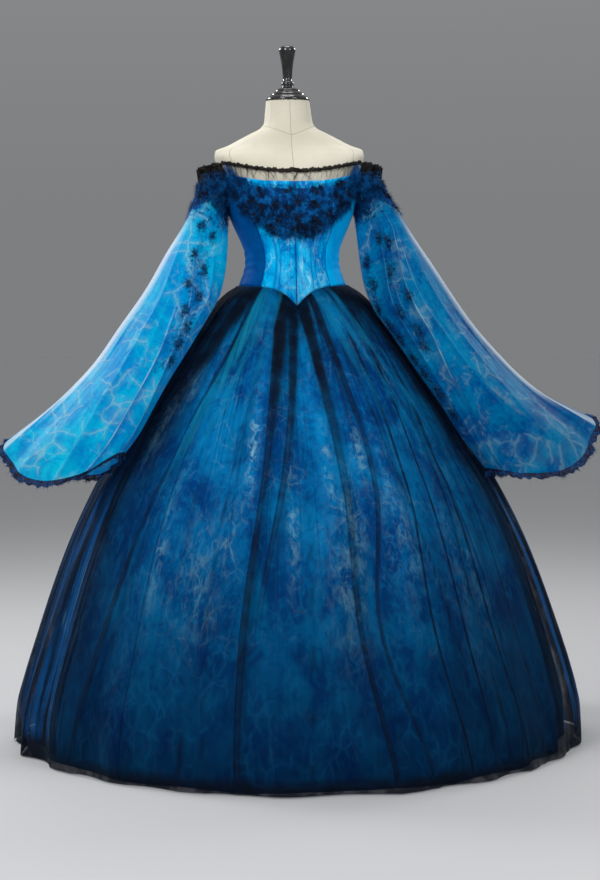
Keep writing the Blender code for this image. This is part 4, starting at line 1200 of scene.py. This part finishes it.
SLEEVE_LACE = (
    SleeveLace("left", 92, 0.035),
    SleeveLace("left", 128, 0.030),
    SleeveLace("left", 150, 0.055),
    SleeveLace("left", 110, 0.065),
    SleeveLace("left", 101, 0.11),
    SleeveLace("left", 133, 0.12),
    SleeveLace("left", 108, 0.20),
    SleeveLace("left", 132, 0.25),
    SleeveLace("left", 114, 0.29),
    SleeveLace("left", 135, 0.34),
    SleeveLace("left", 129, 0.39),
    SleeveLace("left", 150, 0.44),
    SleeveLace("left", 154, 0.51),
    SleeveLace("left", 162, 0.58),
    SleeveLace("right", 96, 0.030),
    SleeveLace("right", 120, 0.045),
    SleeveLace("right", 152, 0.035),
    SleeveLace("right", 131, 0.08),
    SleeveLace("right", 135, 0.15),
    SleeveLace("right", 166, 0.23),
    SleeveLace("right", 128, 0.26),
    SleeveLace("right", 160, 0.31),
    SleeveLace("right", 116, 0.36),
    SleeveLace("right", 118, 0.17),
    SleeveLace("right", 140, 0.41),
    SleeveLace("right", 133, 0.49),
    SleeveLace("right", 142, 0.56),
    SleeveLace("right", 172, 0.40),
    SleeveLace("right", 174, 0.47),
    SleeveLace("right", 175, 0.54),
    SleeveLace("right", 176, 0.61),
    SleeveLace("right", 176, 0.68),
    SleeveLace("right", 177, 0.75),
    SleeveLace("right", 177, 0.83),
)
LaceTrail = namedtuple("LaceTrail", "sleeve first last start end spread count")
LACE_TRAILS = (
    LaceTrail("left", 105, 158, 0.05, 0.62, 12, 700),
    LaceTrail("right", 120, 145, 0.05, 0.58, 10, 600),
    LaceTrail("right", 168, 178, 0.20, 0.92, 7, 900),
)


def lace_ground(name, points, turns, downs):
    """How darkly the chiffon is worked under the lace: over the head, along the trails and round each tuft."""
    ground = (1 - ease(downs, 0.035, 0.125)) * (np.sin(np.radians(turns)) > -0.2)
    for trail in (row for row in LACE_TRAILS if row.sleeve == name):
        share = (downs - trail.start) / (trail.end - trail.start)
        middle = trail.first + (trail.last - trail.first) * share
        near = np.exp(-(((turns - middle) / (1.3 * trail.spread)) ** 2))
        along = near * ease(share, -0.1, 0.1) * (1 - ease(share, 0.8, 1.1))
        ground = np.maximum(ground, 0.45 * along)
    for spot in (row for row in SLEEVE_LACE if row.sleeve == name):
        row = np.abs(downs[:, 0] - spot.down).argmin()
        heart = points[row, np.abs(turns[row] - spot.turn).argmin()]
        away = np.linalg.norm(points - heart, axis=-1)
        ground = np.maximum(ground, 0.62 * np.exp(-((away / 0.019) ** 2)))
    return ground


# Strength and width are the rim's painted highlight; deep and low are painted shade over the outer side and the
# lower half.
EdgeLight = namedtuple("EdgeLight", "strength width lean deep low")
EDGE_LIGHTS = {
    "left": EdgeLight(1.0, 0.0075, 0.0, 0.10, 0.0),
    "right": EdgeLight(0.80, 0.0040, 0.21, 0.60, 0.45),
}


def sleeve_rim(cloth, turns, edge):
    """How much the light catches the sleeve's outline: the nearer a point lies to its ring's outermost one.

    Both are measured away from the inner edge, level and seen a little aslant by the edge's lean.
    """
    outward = (cloth[:, :1] - cloth[:, np.abs(turns[0] - 180).argmin(), None]) * (1, 0, 1)
    outward /= np.linalg.norm(outward, axis=-1, keepdims=True)
    reach = ((cloth - cloth[..., 1:2] * (edge.lean, 0, 0)) * outward).sum(axis=-1)
    beside = reach.max(axis=1, keepdims=True) - reach
    sharp = np.exp(-((beside / edge.width) ** 2))
    soft = np.exp(-((beside / (2.5 * edge.width)) ** 2))
    rim = np.minimum(edge.strength * (sharp + 0.15 * soft), 1)
    return rim * ease(sleeve_downs, 0.08, 0.20) * (1 - 0.5 * ease(sleeve_downs, 0.75, 1.0))


SLEEVE_COLUMNS = 301
sleeves, sleeve_turns = {}, {}
for name, side, rings, folds, material in SLEEVE_CUTS:
    lines = np.stack([curve_through(fold[:5], sleeve_downs[:, 0]) for fold in folds])
    turns = packed_columns(lines, 0, 360, SLEEVE_COLUMNS)[:, :-1]
    _, light, shade = sleeve_folds(sleeve_downs, turns, folds)
    edge = EDGE_LIGHTS[name]
    cloth = sleeve_surface(side, rings, folds, sleeve_downs, turns)
    rim = sleeve_rim(cloth, turns, edge)
    # Painted shade over the sleeve's outer side and over its lower half, as much as each edge's deep and low
    # ask.
    outer_side = np.exp(-(((turns - 48) / 22) ** 2)) * ease(sleeve_downs, 0.05, 0.2)
    shade = np.maximum(shade, edge.deep * outer_side)
    shade = np.maximum(shade, edge.low * ease(sleeve_downs, 0.5, 0.85))
    points = on_arm(side, cloth)
    sleeves[name], sleeve_turns[name] = points, on_arm(side, turns)
    item = surface(
        f"chiffon_sleeve_{name}", points, material, "chiffon", [f"sleeve_{name}"], closed=True,
        grain=(sleeve_turns[name], sleeve_downs),
        light=on_arm(side, light), shade=on_arm(side, shade), rim=on_arm(side, rim),
        worked=lace_ground(name, points, sleeve_turns[name], sleeve_downs),
    )

# The frills round the sleeve hems: dark lace, gathered on, whose outer edge is frayed into short threads.
HEM_RUFFLE, RUFFLE_WAVE = 0.016, 0.005
frill_lace = lace("frill_lace", (0.010, 0.012, 0.035), (0.004, 0.045, 0.17), 0.85)
hem_edges = {}
for name, side in SIDES.items():
    tube = sleeves[name]
    split = 3
    share = np.arange(tube.shape[1] * split) / split
    low, high = share.astype(int), (share.astype(int) + 1) % tube.shape[1]
    hem, above = (tube[i, low] + (tube[i, high] - tube[i, low]) * (share - low)[:, None] for i in (0, 2))
    onward = (hem - above) / np.linalg.norm(hem - above, axis=-1, keepdims=True)
    around = np.roll(hem, -2, axis=0) - np.roll(hem, 2, axis=0)
    aside = np.cross(onward, around)
    aside /= np.linalg.norm(aside, axis=-1, keepdims=True)
    length = np.cumsum(np.linalg.norm(np.roll(hem, -1, axis=0) - hem, axis=-1))
    turn = (2 * np.pi * length / length[-1])[:, None]
    wave = np.sin(16 * turn + 1.2 * np.sin(5 * turn)) + 0.40 * np.sin(67 * turn + 3 * np.sin(9 * turn))
    reach = HEM_RUFFLE + 0.0025 * np.sin(29 * turn + 2 * np.sin(7 * turn)) + 0.001 * np.sin(151 * turn)
    rows = [
        hem + onward * (reach * up - 0.0015) + aside * (0.0008 + RUFFLE_WAVE * wave * up)
        for up in np.linspace(1, 0, 6)
    ]
    points = np.stack(rows)
    hem_edges[name] = points
    item = surface(
        f"hem_frill_{name}", points, frill_lace, "dark_lace", [f"sleeve_hem_ruffle_{name}"],
        wall=0.0006, closed=True,
    )

# The bands of lace round the sleeve heads, laid over the chiffon just below the headings.
BAND_TURN, BAND_DOWN, BAND_ROWS, BAND_COLUMNS = 78.75, 0.11, 16, 120
band_lace = lace("band_lace", (0.003, 0.025, 0.10), (0.003, 0.100, 0.36), 0.80, painted=True)


def moved_out(points, distance):
    """The same grid, moved along its own normals."""
    normals = np.cross(np.gradient(points, axis=1), np.gradient(points, axis=0))
    return points + distance * normals / np.linalg.norm(normals, axis=-1, keepdims=True)


bands = {}
for name, side, rings, folds, _ in SLEEVE_CUTS:
    turns = np.linspace(-BAND_TURN, BAND_TURN, BAND_COLUMNS)[None, :]
    downs = np.linspace(BAND_DOWN, 0, BAND_ROWS)[:, None]
    points = moved_out(on_arm(side, sleeve_surface(side, rings, folds, downs, turns)), 0.0019)
    bands[name] = points
    cover = ease(BAND_TURN - np.abs(turns), 0, 22) * (1 - ease(downs, 0.6 * BAND_DOWN, BAND_DOWN)) + 0.15
    item = surface(
        f"lace_band_{name}", points, band_lace, "dark_lace", [f"sleeve_head_band_{name}"],
        wall=0.0006, cover=cover,
    )

# The bertha over the bust: midnight-blue net set all over with flowers of black cord lace, whose lashes stand
# off it and hang below its lower edge. More of the same lace runs down the sleeves in strips.
BERTHA_OUT = 0.0066
BerthaEdge = namedtuple("BerthaEdge", "away lower upper")
BERTHA = (
    BerthaEdge(0, 1.226, 1.345),
    BerthaEdge(15, 1.228, 1.347),
    BerthaEdge(30, 1.246, 1.352),
    BerthaEdge(45, 1.276, 1.360),
    BerthaEdge(58, 1.300, 1.366),
)
LaceSpot = namedtuple("LaceSpot", "angle height")
BERTHA_LACE = (
    LaceSpot(221, 1.352),
    LaceSpot(244, 1.331),
    LaceSpot(267, 1.334),
    LaceSpot(285, 1.338),
    LaceSpot(305, 1.352),
    LaceSpot(215, 1.325),
    LaceSpot(233, 1.316),
    LaceSpot(256, 1.303),
    LaceSpot(271, 1.310),
    LaceSpot(265, 1.290),
    LaceSpot(282, 1.306),
    LaceSpot(304, 1.320),
    LaceSpot(236, 1.272),
    LaceSpot(256, 1.268),
    LaceSpot(271, 1.270),
    LaceSpot(286, 1.264),
    LaceSpot(311, 1.306),
    LaceSpot(270, 1.247),
    LaceSpot(286, 1.246),
    LaceSpot(278, 1.240),
    LaceSpot(243, 1.295),
    LaceSpot(298, 1.276),
    LaceSpot(226, 1.293),
    LaceSpot(249, 1.250),
    LaceSpot(320, 1.330),
)
bertha_net = lace("bertha_net", (0.003, 0.048, 0.19), (0.003, 0.190, 0.60), 0.85, painted=True)
flower_lace = lace("flower_lace", (0.008, 0.012, 0.024), (0.015, 0.014, 0.026), 1.0)
sleeve_flower_lace = lace("sleeve_flower_lace", (0.010, 0.105, 0.25), (0.014, 0.045, 0.110), 1.0)
blue_lash = lace("blue_lash", (0.002, 0.050, 0.20), (0.006, 0.190, 0.56), 1.0)
black_lash = lace("black_lash", (0.006, 0.007, 0.014), (0.005, 0.024, 0.080), 1.0)
grey_lash = lace("grey_lash", (0.030, 0.028, 0.060), (0.060, 0.080, 0.17), 1.0)


def frame_of(points, row, column, closed=False):
    """Where chosen spots of a grid lie, with the way out of the cloth, up it and across it there."""
    columns = points.shape[1]
    ahead, behind = column + 1, column - 1
    if closed:
        ahead, behind = ahead % columns, behind % columns
    else:
        ahead, behind = np.minimum(ahead, columns - 1), np.maximum(behind, 0)
    across = points[row, ahead] - points[row, behind]
    up = points[np.minimum(row + 1, len(points) - 1), column] - points[np.maximum(row - 1, 0), column]
    out = np.cross(across, up)
    out, up = (v / np.linalg.norm(v, axis=-1, keepdims=True) for v in (out, up))
    return points[row, column], out, up, np.cross(up, out)


def joined(name, points, faces, material, wall=0.0):
    """Many small shapes of the same faces as one piece: points is shapes by corners by xyz."""
    count, size = points.shape[:2]
    all_faces = (faces[None] + size * np.arange(count)[:, None, None]).reshape(-1, faces.shape[-1])
    mesh = bpy.data.meshes.new(name)
    mesh.from_pydata(points.reshape(-1, 3), [], all_faces)
    return placed(name, mesh, material, wall=wall)


def lace_flowers(name, spot, radius, turn, material, petals=5):
    """Flat flowers, each a polar grid whose rim runs in and out once a petal; the petals lift off the cloth."""
    place, out, up, across = spot
    rays, rims = 4 * petals, np.array([0.0, 0.55, 1.0])
    theta = np.linspace(0, 2 * np.pi, rays, endpoint=False)
    edge = 0.45 + 0.55 * np.abs(np.cos(petals * theta / 2)) ** 0.8
    r = rims[:, None] * edge[None, :]
    lift = 0.35 * rims[:, None] ** 2 * (0.5 + 0.5 * np.cos(petals * theta))[None, :]
    lift = lift + 0.06 * (1 - rims[:, None])
    local = np.stack([r * np.cos(theta), r * np.sin(theta), lift + 0 * r], axis=-1)[1:].reshape(-1, 3)
    local = np.concatenate([[[0.0, 0.0, 0.05]], local])
    c, s = np.cos(turn)[:, None], np.sin(turn)[:, None]
    x = (local[:, 0] * c - local[:, 1] * s)[..., None] * across[:, None]
    y = (local[:, 0] * s + local[:, 1] * c)[..., None] * up[:, None]
    z = local[:, 2][None, :, None] * out[:, None]
    points = place[:, None] + radius[:, None, None] * (x + y + z)
    i = np.arange(rays)
    j = (i + 1) % rays
    middle = np.stack([0 * i, 1 + i, 1 + j], axis=1)
    low, high = 1, 1 + rays
    strips = (low + i, high + i, high + j), (low + i, high + j, low + j)
    rim = [np.stack(strip, axis=1) for strip in strips]
    return joined(name, points, np.concatenate([middle, *rim]), material)


def lashes(name, place, way, length, thick, bend, material):
    """Short three-sided threads that taper to a point, each bent by the square of the way along it."""
    way = way / np.linalg.norm(way, axis=-1, keepdims=True)
    side = np.cross(way, np.roll(way, 1, axis=1) + 0.3)
    side /= np.linalg.norm(side, axis=-1, keepdims=True)
    other = np.cross(way, side)
    reach = length[:, None]
    rings = [place, place + way * reach * 0.5 + bend * 0.25]
    corners = [
        ring + thick * size * (np.cos(a) * side + np.sin(a) * other)
        for ring, size in zip(rings, (1.0, 0.7))
        for a in (0.0, 2.094, 4.189)
    ]
    points = np.stack([*corners, place + way * reach + bend], axis=1)
    pairs = ((0, 1), (1, 2), (2, 0))
    faces = [(0, 2, 1)] + [(a, b, b + 3) for a, b in pairs] + [(a, b + 3, a + 3) for a, b in pairs]
    faces += [(a + 3, b + 3, 6) for a, b in pairs]
    return joined(name, points, np.array(faces), material)


def lash_bed(name, spot, chance, length, hang, material, thick=0.0003):
    """Lashes sown on chosen spots, each leaning off the cloth by chance and a little downwards."""
    place, out, up, across = spot
    count = len(place)
    aim = chance.normal(0, 1, (count, 2))
    way = out * chance.uniform(0.10, 0.7, (count, 1)) + up * (aim[:, :1] - hang) + across * aim[:, 1:]
    bend = across * chance.normal(0, 0.004, (count, 1)) - up * chance.uniform(0, 0.003, (count, 1))
    return lashes(name, place + out * 0.0008, way, chance.uniform(*length, count), thick, bend, material)


def clusters(name, spot, chance, size, material, flowers=6, threads=56, tall=1.0):
    """Tufts of lace: small flowers heaped round each spot, and black threads that spray out of them."""
    place, out, up, across = (np.repeat(v, flowers, axis=0) for v in spot)
    count = len(place)
    shift = chance.normal(0, size * 0.42, (count, 2)) * (1 / tall, tall)
    heap = place + across * shift[:, :1] + up * shift[:, 1:] + out * chance.uniform(0.0008, 0.0030, (count, 1))
    radius, turn = chance.uniform(0.22, 0.44, count) * size, chance.uniform(0, 6.28, count)
    petals = lace_flowers(f"{name}_flowers", (heap, out, up, across), radius, turn, material)
    place, out, up, across = (np.repeat(v, threads, axis=0) for v in spot)
    count = len(place)
    shift = chance.normal(0, size * 0.4, (count, 2)) * (1 / tall, tall)
    root = place + across * shift[:, :1] + up * shift[:, 1:]
    way = out * chance.uniform(0.15, 0.9, (count, 1)) + up * shift[:, 1:] / size + across * shift[:, :1] / size
    bend = across * chance.normal(0, 0.003, (count, 1)) - up * 0.002
    length = chance.uniform(0.6, 1.5, count) * size
    return [petals, lashes(f"{name}_threads", root, way, length, 0.00035, bend, black_lash)]


chance = np.random.default_rng(5)
BERTHA_END, BERTHA_ROWS, BERTHA_COLUMNS = 58, 40, 150
angles = np.linspace(FRONT - BERTHA_END, FRONT + BERTHA_END, BERTHA_COLUMNS)
away = away_from_front(angles)
low, high = through(BERTHA, "lower", away), through(BERTHA, "upper", away)
up = np.linspace(0, 1, BERTHA_ROWS)[:, None]
scallop = 0.004 * np.sin(np.radians(angles) * 26) * (1 - up)
wave = 0.0008 * np.sin(np.radians(angles) * 60 + 9 * up)
bertha = body_point(low + (high - low) * up + scallop, angles, BERTHA_OUT + wave)
cover = ease(up, 0, 0.16) * (1 - ease(up, 0.86, 1.0)) * ease(BERTHA_END - away, 0, 7) + 0.12
item = surface("bertha_net", bertha, bertha_net, "dark_lace", ["bertha"], wall=0.0006, cover=cover)
spots = np.array(BERTHA_LACE)
column = np.abs(angles - spots[:, :1]).argmin(axis=1)
row = np.clip((spots[:, 1] - low[column]) / (high - low)[column] * (BERTHA_ROWS - 1), 1, BERTHA_ROWS - 2)
spot = frame_of(bertha, row.astype(int), column)
pieces = clusters("bertha", spot, chance, 0.0145, flower_lace)
LashBed = namedtuple("LashBed", "name bottom top count shortest longest hang")
LASH_BEDS = (
    LashBed("bertha_blue_lashes", 0, BERTHA_ROWS, 2800, 0.008, 0.017, 0.3),
    LashBed("bertha_fringe", 0, 6, 1100, 0.010, 0.021, 1.6),
    LashBed("bertha_upper_fringe", 31, BERTHA_ROWS, 700, 0.005, 0.010, -0.6),
)
for bed in LASH_BEDS:
    row = chance.integers(bed.bottom, bed.top, bed.count)
    spot = frame_of(bertha, row, chance.integers(0, BERTHA_COLUMNS, bed.count))
    pieces.append(lash_bed(bed.name, spot, chance, (bed.shortest, bed.longest), bed.hang, blue_lash))
row = chance.integers(24, BERTHA_ROWS, 1700)
at_left = chance.random(1700) < 0.5
from_left, from_right = ((chance.beta(1, 3, 1700) * 36).astype(int) for _ in range(2))
spot = frame_of(bertha, row, np.where(at_left, from_left, BERTHA_COLUMNS - 1 - from_right))
pieces.append(lash_bed("bertha_shoulder_tufts", spot, chance, (0.012, 0.026), -0.9, blue_lash))
beside = np.concatenate([np.linspace(FRONT - 74, FRONT - 55, 20), np.linspace(FRONT + 55, FRONT + 74, 20)])
shoulder = body_point(np.linspace(1.300, 1.372, 20)[:, None], beside, BERTHA_OUT - 0.001)
row, column = chance.integers(4, 20, 1300), chance.choice(np.r_[0:19, 21:40], 1300)
spot = frame_of(shoulder, row, column)
pieces.append(lash_bed("bertha_side_tufts", spot, chance, (0.010, 0.022), 0.1, blue_lash))
row, column = (chance.beta(1.0, 2.0, 1100) * 30).astype(int), chance.integers(0, BERTHA_COLUMNS, 1100)
spot = frame_of(bertha, row, column)
pieces.append(lash_bed("bertha_black_lashes", spot, chance, (0.008, 0.015), 0.6, black_lash))


def sleeve_spots(name, turn, down):
    """The frames of spots on a sleeve, by their turn and their share down it."""
    row = np.abs(sleeve_downs[:, 0] - down[:, None]).argmin(axis=1)
    column = np.abs(sleeve_turns[name][row] - turn[:, None]).argmin(axis=1)
    return frame_of(sleeves[name], row, column, closed=True)


def two_beds(names, spot, share, chance, lengths, hang, materials):
    """Two beds of lashes from one row of spots: the first share of them, and the rest."""
    parts = [v[:share] for v in spot], [v[share:] for v in spot]
    for name, part, length, material in zip(names, parts, lengths, materials):
        lash_bed(name, part, chance, length, hang, material)


CORNER_ROWS, CORNER_COLUMNS, YOKE_PATCH = 16, 24, 12
blue_and_black = blue_lash, black_lash
for name, side in SIDES.items():
    turn, down = np.array([(spot.turn, spot.down) for spot in SLEEVE_LACE if spot.sleeve == name]).T
    clusters(f"sleeve_{name}", sleeve_spots(name, turn, down), chance, 0.0125, sleeve_flower_lace, 4, 64, 1.45)
    for number, trail in enumerate(trail for trail in LACE_TRAILS if trail.sleeve == name):
        share = chance.uniform(0, 1, trail.count)
        turn = trail.first + (trail.last - trail.first) * share + chance.normal(0, trail.spread, trail.count)
        down = trail.start + (trail.end - trail.start) * share
        names = f"sleeve_{name}_blue_trail_{number}", f"sleeve_{name}_black_trail_{number}"
        lengths = (0.006, 0.013), (0.006, 0.012)
        spot = sleeve_spots(name, turn, down)
        two_beds(names, spot, trail.count // 2, chance, lengths, 0.2, blue_and_black)
    turn, down = chance.uniform(60, 182, 1000), chance.uniform(0, 1, 1000) ** 1.5 * 0.10
    spot = sleeve_spots(name, turn, down)
    lash_bed(f"sleeve_head_{name}_lashes", spot, chance, (0.008, 0.016), 0.4, blue_lash)
    spot = [v[:350] for v in spot]
    lash_bed(f"sleeve_head_{name}_black_lashes", spot, chance, (0.008, 0.014), 0.4, black_lash)
    row, column = chance.integers(1, BAND_ROWS - 1, 14), chance.integers(2, BAND_COLUMNS - 2, 14)
    clusters(f"band_{name}", frame_of(bands[name], row, column), chance, 0.011, flower_lace)
    row, column = chance.integers(0, BAND_ROWS, 1100), chance.integers(0, BAND_COLUMNS, 1100)
    spot = frame_of(bands[name], row, column)
    lash_bed(f"band_{name}_lashes", spot, chance, (0.007, 0.015), 0.5, blue_lash)
    turns, heights = np.linspace(35, 90, CORNER_COLUMNS), np.linspace(1.338, 1.378, CORNER_ROWS)[:, None]
    corner = on_arm(side, arm_arc(side, turns[None, :], heights, 0.006))
    row = np.minimum((chance.beta(1, 1.6, 800) * CORNER_ROWS).astype(int), CORNER_ROWS - 1)
    column = np.minimum((chance.beta(1.6, 1, 800) * CORNER_COLUMNS).astype(int), CORNER_COLUMNS - 1)
    if name == "right":
        column = CORNER_COLUMNS - 1 - column
    names, lengths = (f"heading_{name}_tufts", f"heading_{name}_black_tufts"), ((0.010, 0.020), (0.010, 0.018))
    two_beds(names, frame_of(corner, row, column), 600, chance, lengths, 0.2, blue_and_black)
    angles = FRONT + side * np.linspace(50, 66, YOKE_PATCH)
    yoke = body_point(np.linspace(1.356, 1.392, YOKE_PATCH)[:, None], angles, BERTHA_OUT)
    row, column = chance.integers(0, YOKE_PATCH, 500), chance.integers(0, YOKE_PATCH, 500)
    place, out, up, across = frame_of(yoke, row, column)
    if name == "left":
        out = -out
    lash_bed(f"yoke_{name}_tufts", (place, out, up, across), chance, (0.008, 0.018), 0.3, blue_lash)
    edge = hem_edges[name]
    row, column = chance.integers(0, 3, 1300), chance.integers(0, edge.shape[1], 1300)
    names, lengths = (f"hem_{name}_grey_lashes", f"hem_{name}_blue_lashes"), ((0.004, 0.010), (0.004, 0.010))
    spot = frame_of(edge, row, column, closed=True)
    two_beds(names, spot, 650, chance, lengths, 1.5, (grey_lash, blue_lash))

# The studio: a pale floor, broad soft lamps, and a camera at the height of the waist, where the picture was
# taken from.
FLOOR = 30
floor_mesh = bpy.data.meshes.new("studio_floor")
corners = [(-FLOOR, -FLOOR, 0), (FLOOR, -FLOOR, 0), (FLOOR, FLOOR, 0), (-FLOOR, FLOOR, 0)]
floor_mesh.from_pydata(corners, [], [(0, 1, 2, 3)])
floor = bpy.data.objects.new("studio_floor", floor_mesh)
bpy.context.scene.collection.objects.link(floor)
paint, tree, output = fresh("pale_floor")
shader = add(tree, "BsdfPrincipled", {"Base Color": (0.60, 0.60, 0.61, 1), "Roughness": 0.55})
floor_mesh.materials.append(finished(paint, output, shader))
world = bpy.data.worlds.new("studio")
bpy.context.scene.world = world
world.use_nodes = True
sky = world.node_tree
up_share = add(sky, "SeparateXYZ", {0: add(sky, "TexCoord").outputs["Generated"]}).outputs["Z"]
sky.nodes["Background"].inputs["Color"].default_value = (0.96, 0.98, 1.0, 1)
sky.links.new(spread(sky, up_share, 0.0, 0.35, 0.215, 0.33), sky.nodes["Background"].inputs["Strength"])
bpy.context.scene.view_settings.view_transform = "Standard"
Lamp = namedtuple("Lamp", "name place aim size power")
LAMPS = (
    Lamp("key", (-2.2, -3.4, 2.9), (0, 0, 1.15), 1.6, 84),
    Lamp("fill", (2.2, -3.6, 2.6), (0, 0, 1.15), 1.8, 46),
    Lamp("top", (0.0, 0.2, 3.8), (0, 0, 1.2), 1.4, 26),
    Lamp("left_rim", (-2.4, 1.8, 2.6), (-0.3, 0, 1.0), 1.0, 56),
    Lamp("right_rim", (2.4, 1.8, 2.6), (0.3, 0, 1.0), 1.0, 30),
)


def facing(place, way, top):
    """A placement whose back is turned to where it looks: its three axes and its place as one matrix."""
    way = np.asarray(way, float) / np.linalg.norm(way)
    right = np.cross(way, top)
    right /= np.linalg.norm(right)
    up = np.cross(right, way)
    axes = np.column_stack([right, up, -way, place])
    return Matrix([*axes.tolist(), [0, 0, 0, 1]])


for lamp in LAMPS:
    light = bpy.data.lights.new(lamp.name, "AREA")
    light.shape, light.size, light.energy = "DISK", lamp.size, lamp.power
    holder = bpy.data.objects.new(lamp.name, light)
    bpy.context.scene.collection.objects.link(holder)
    holder.matrix_world = facing(lamp.place, np.subtract(lamp.aim, lamp.place), (0, 0, 1))

AWAY, EYE, ASIDE = 5.6, 1.11, 0.0151
PITCH, YAW, ROLL = np.radians(3.9), np.radians(6.0), np.radians(0.5)
ahead = np.array([np.sin(YAW), np.cos(YAW), 0.0])
beside = np.array([np.cos(YAW), -np.sin(YAW), 0.0])
upward = np.array([0.0, 0.0, 1.0])
look = ahead * np.cos(PITCH) - upward * np.sin(PITCH)
head = ahead * np.sin(PITCH) + upward * np.cos(PITCH)
lens = bpy.data.cameras.new("picture")
lens.lens, lens.sensor_width = 93.5, 36.0
camera = bpy.data.objects.new("picture", lens)
bpy.context.scene.collection.objects.link(camera)
place = -AWAY * ahead + ASIDE * beside + EYE * upward
camera.matrix_world = facing(place, look, head * np.cos(ROLL) + beside * np.sin(ROLL))
bpy.context.scene.camera = camera
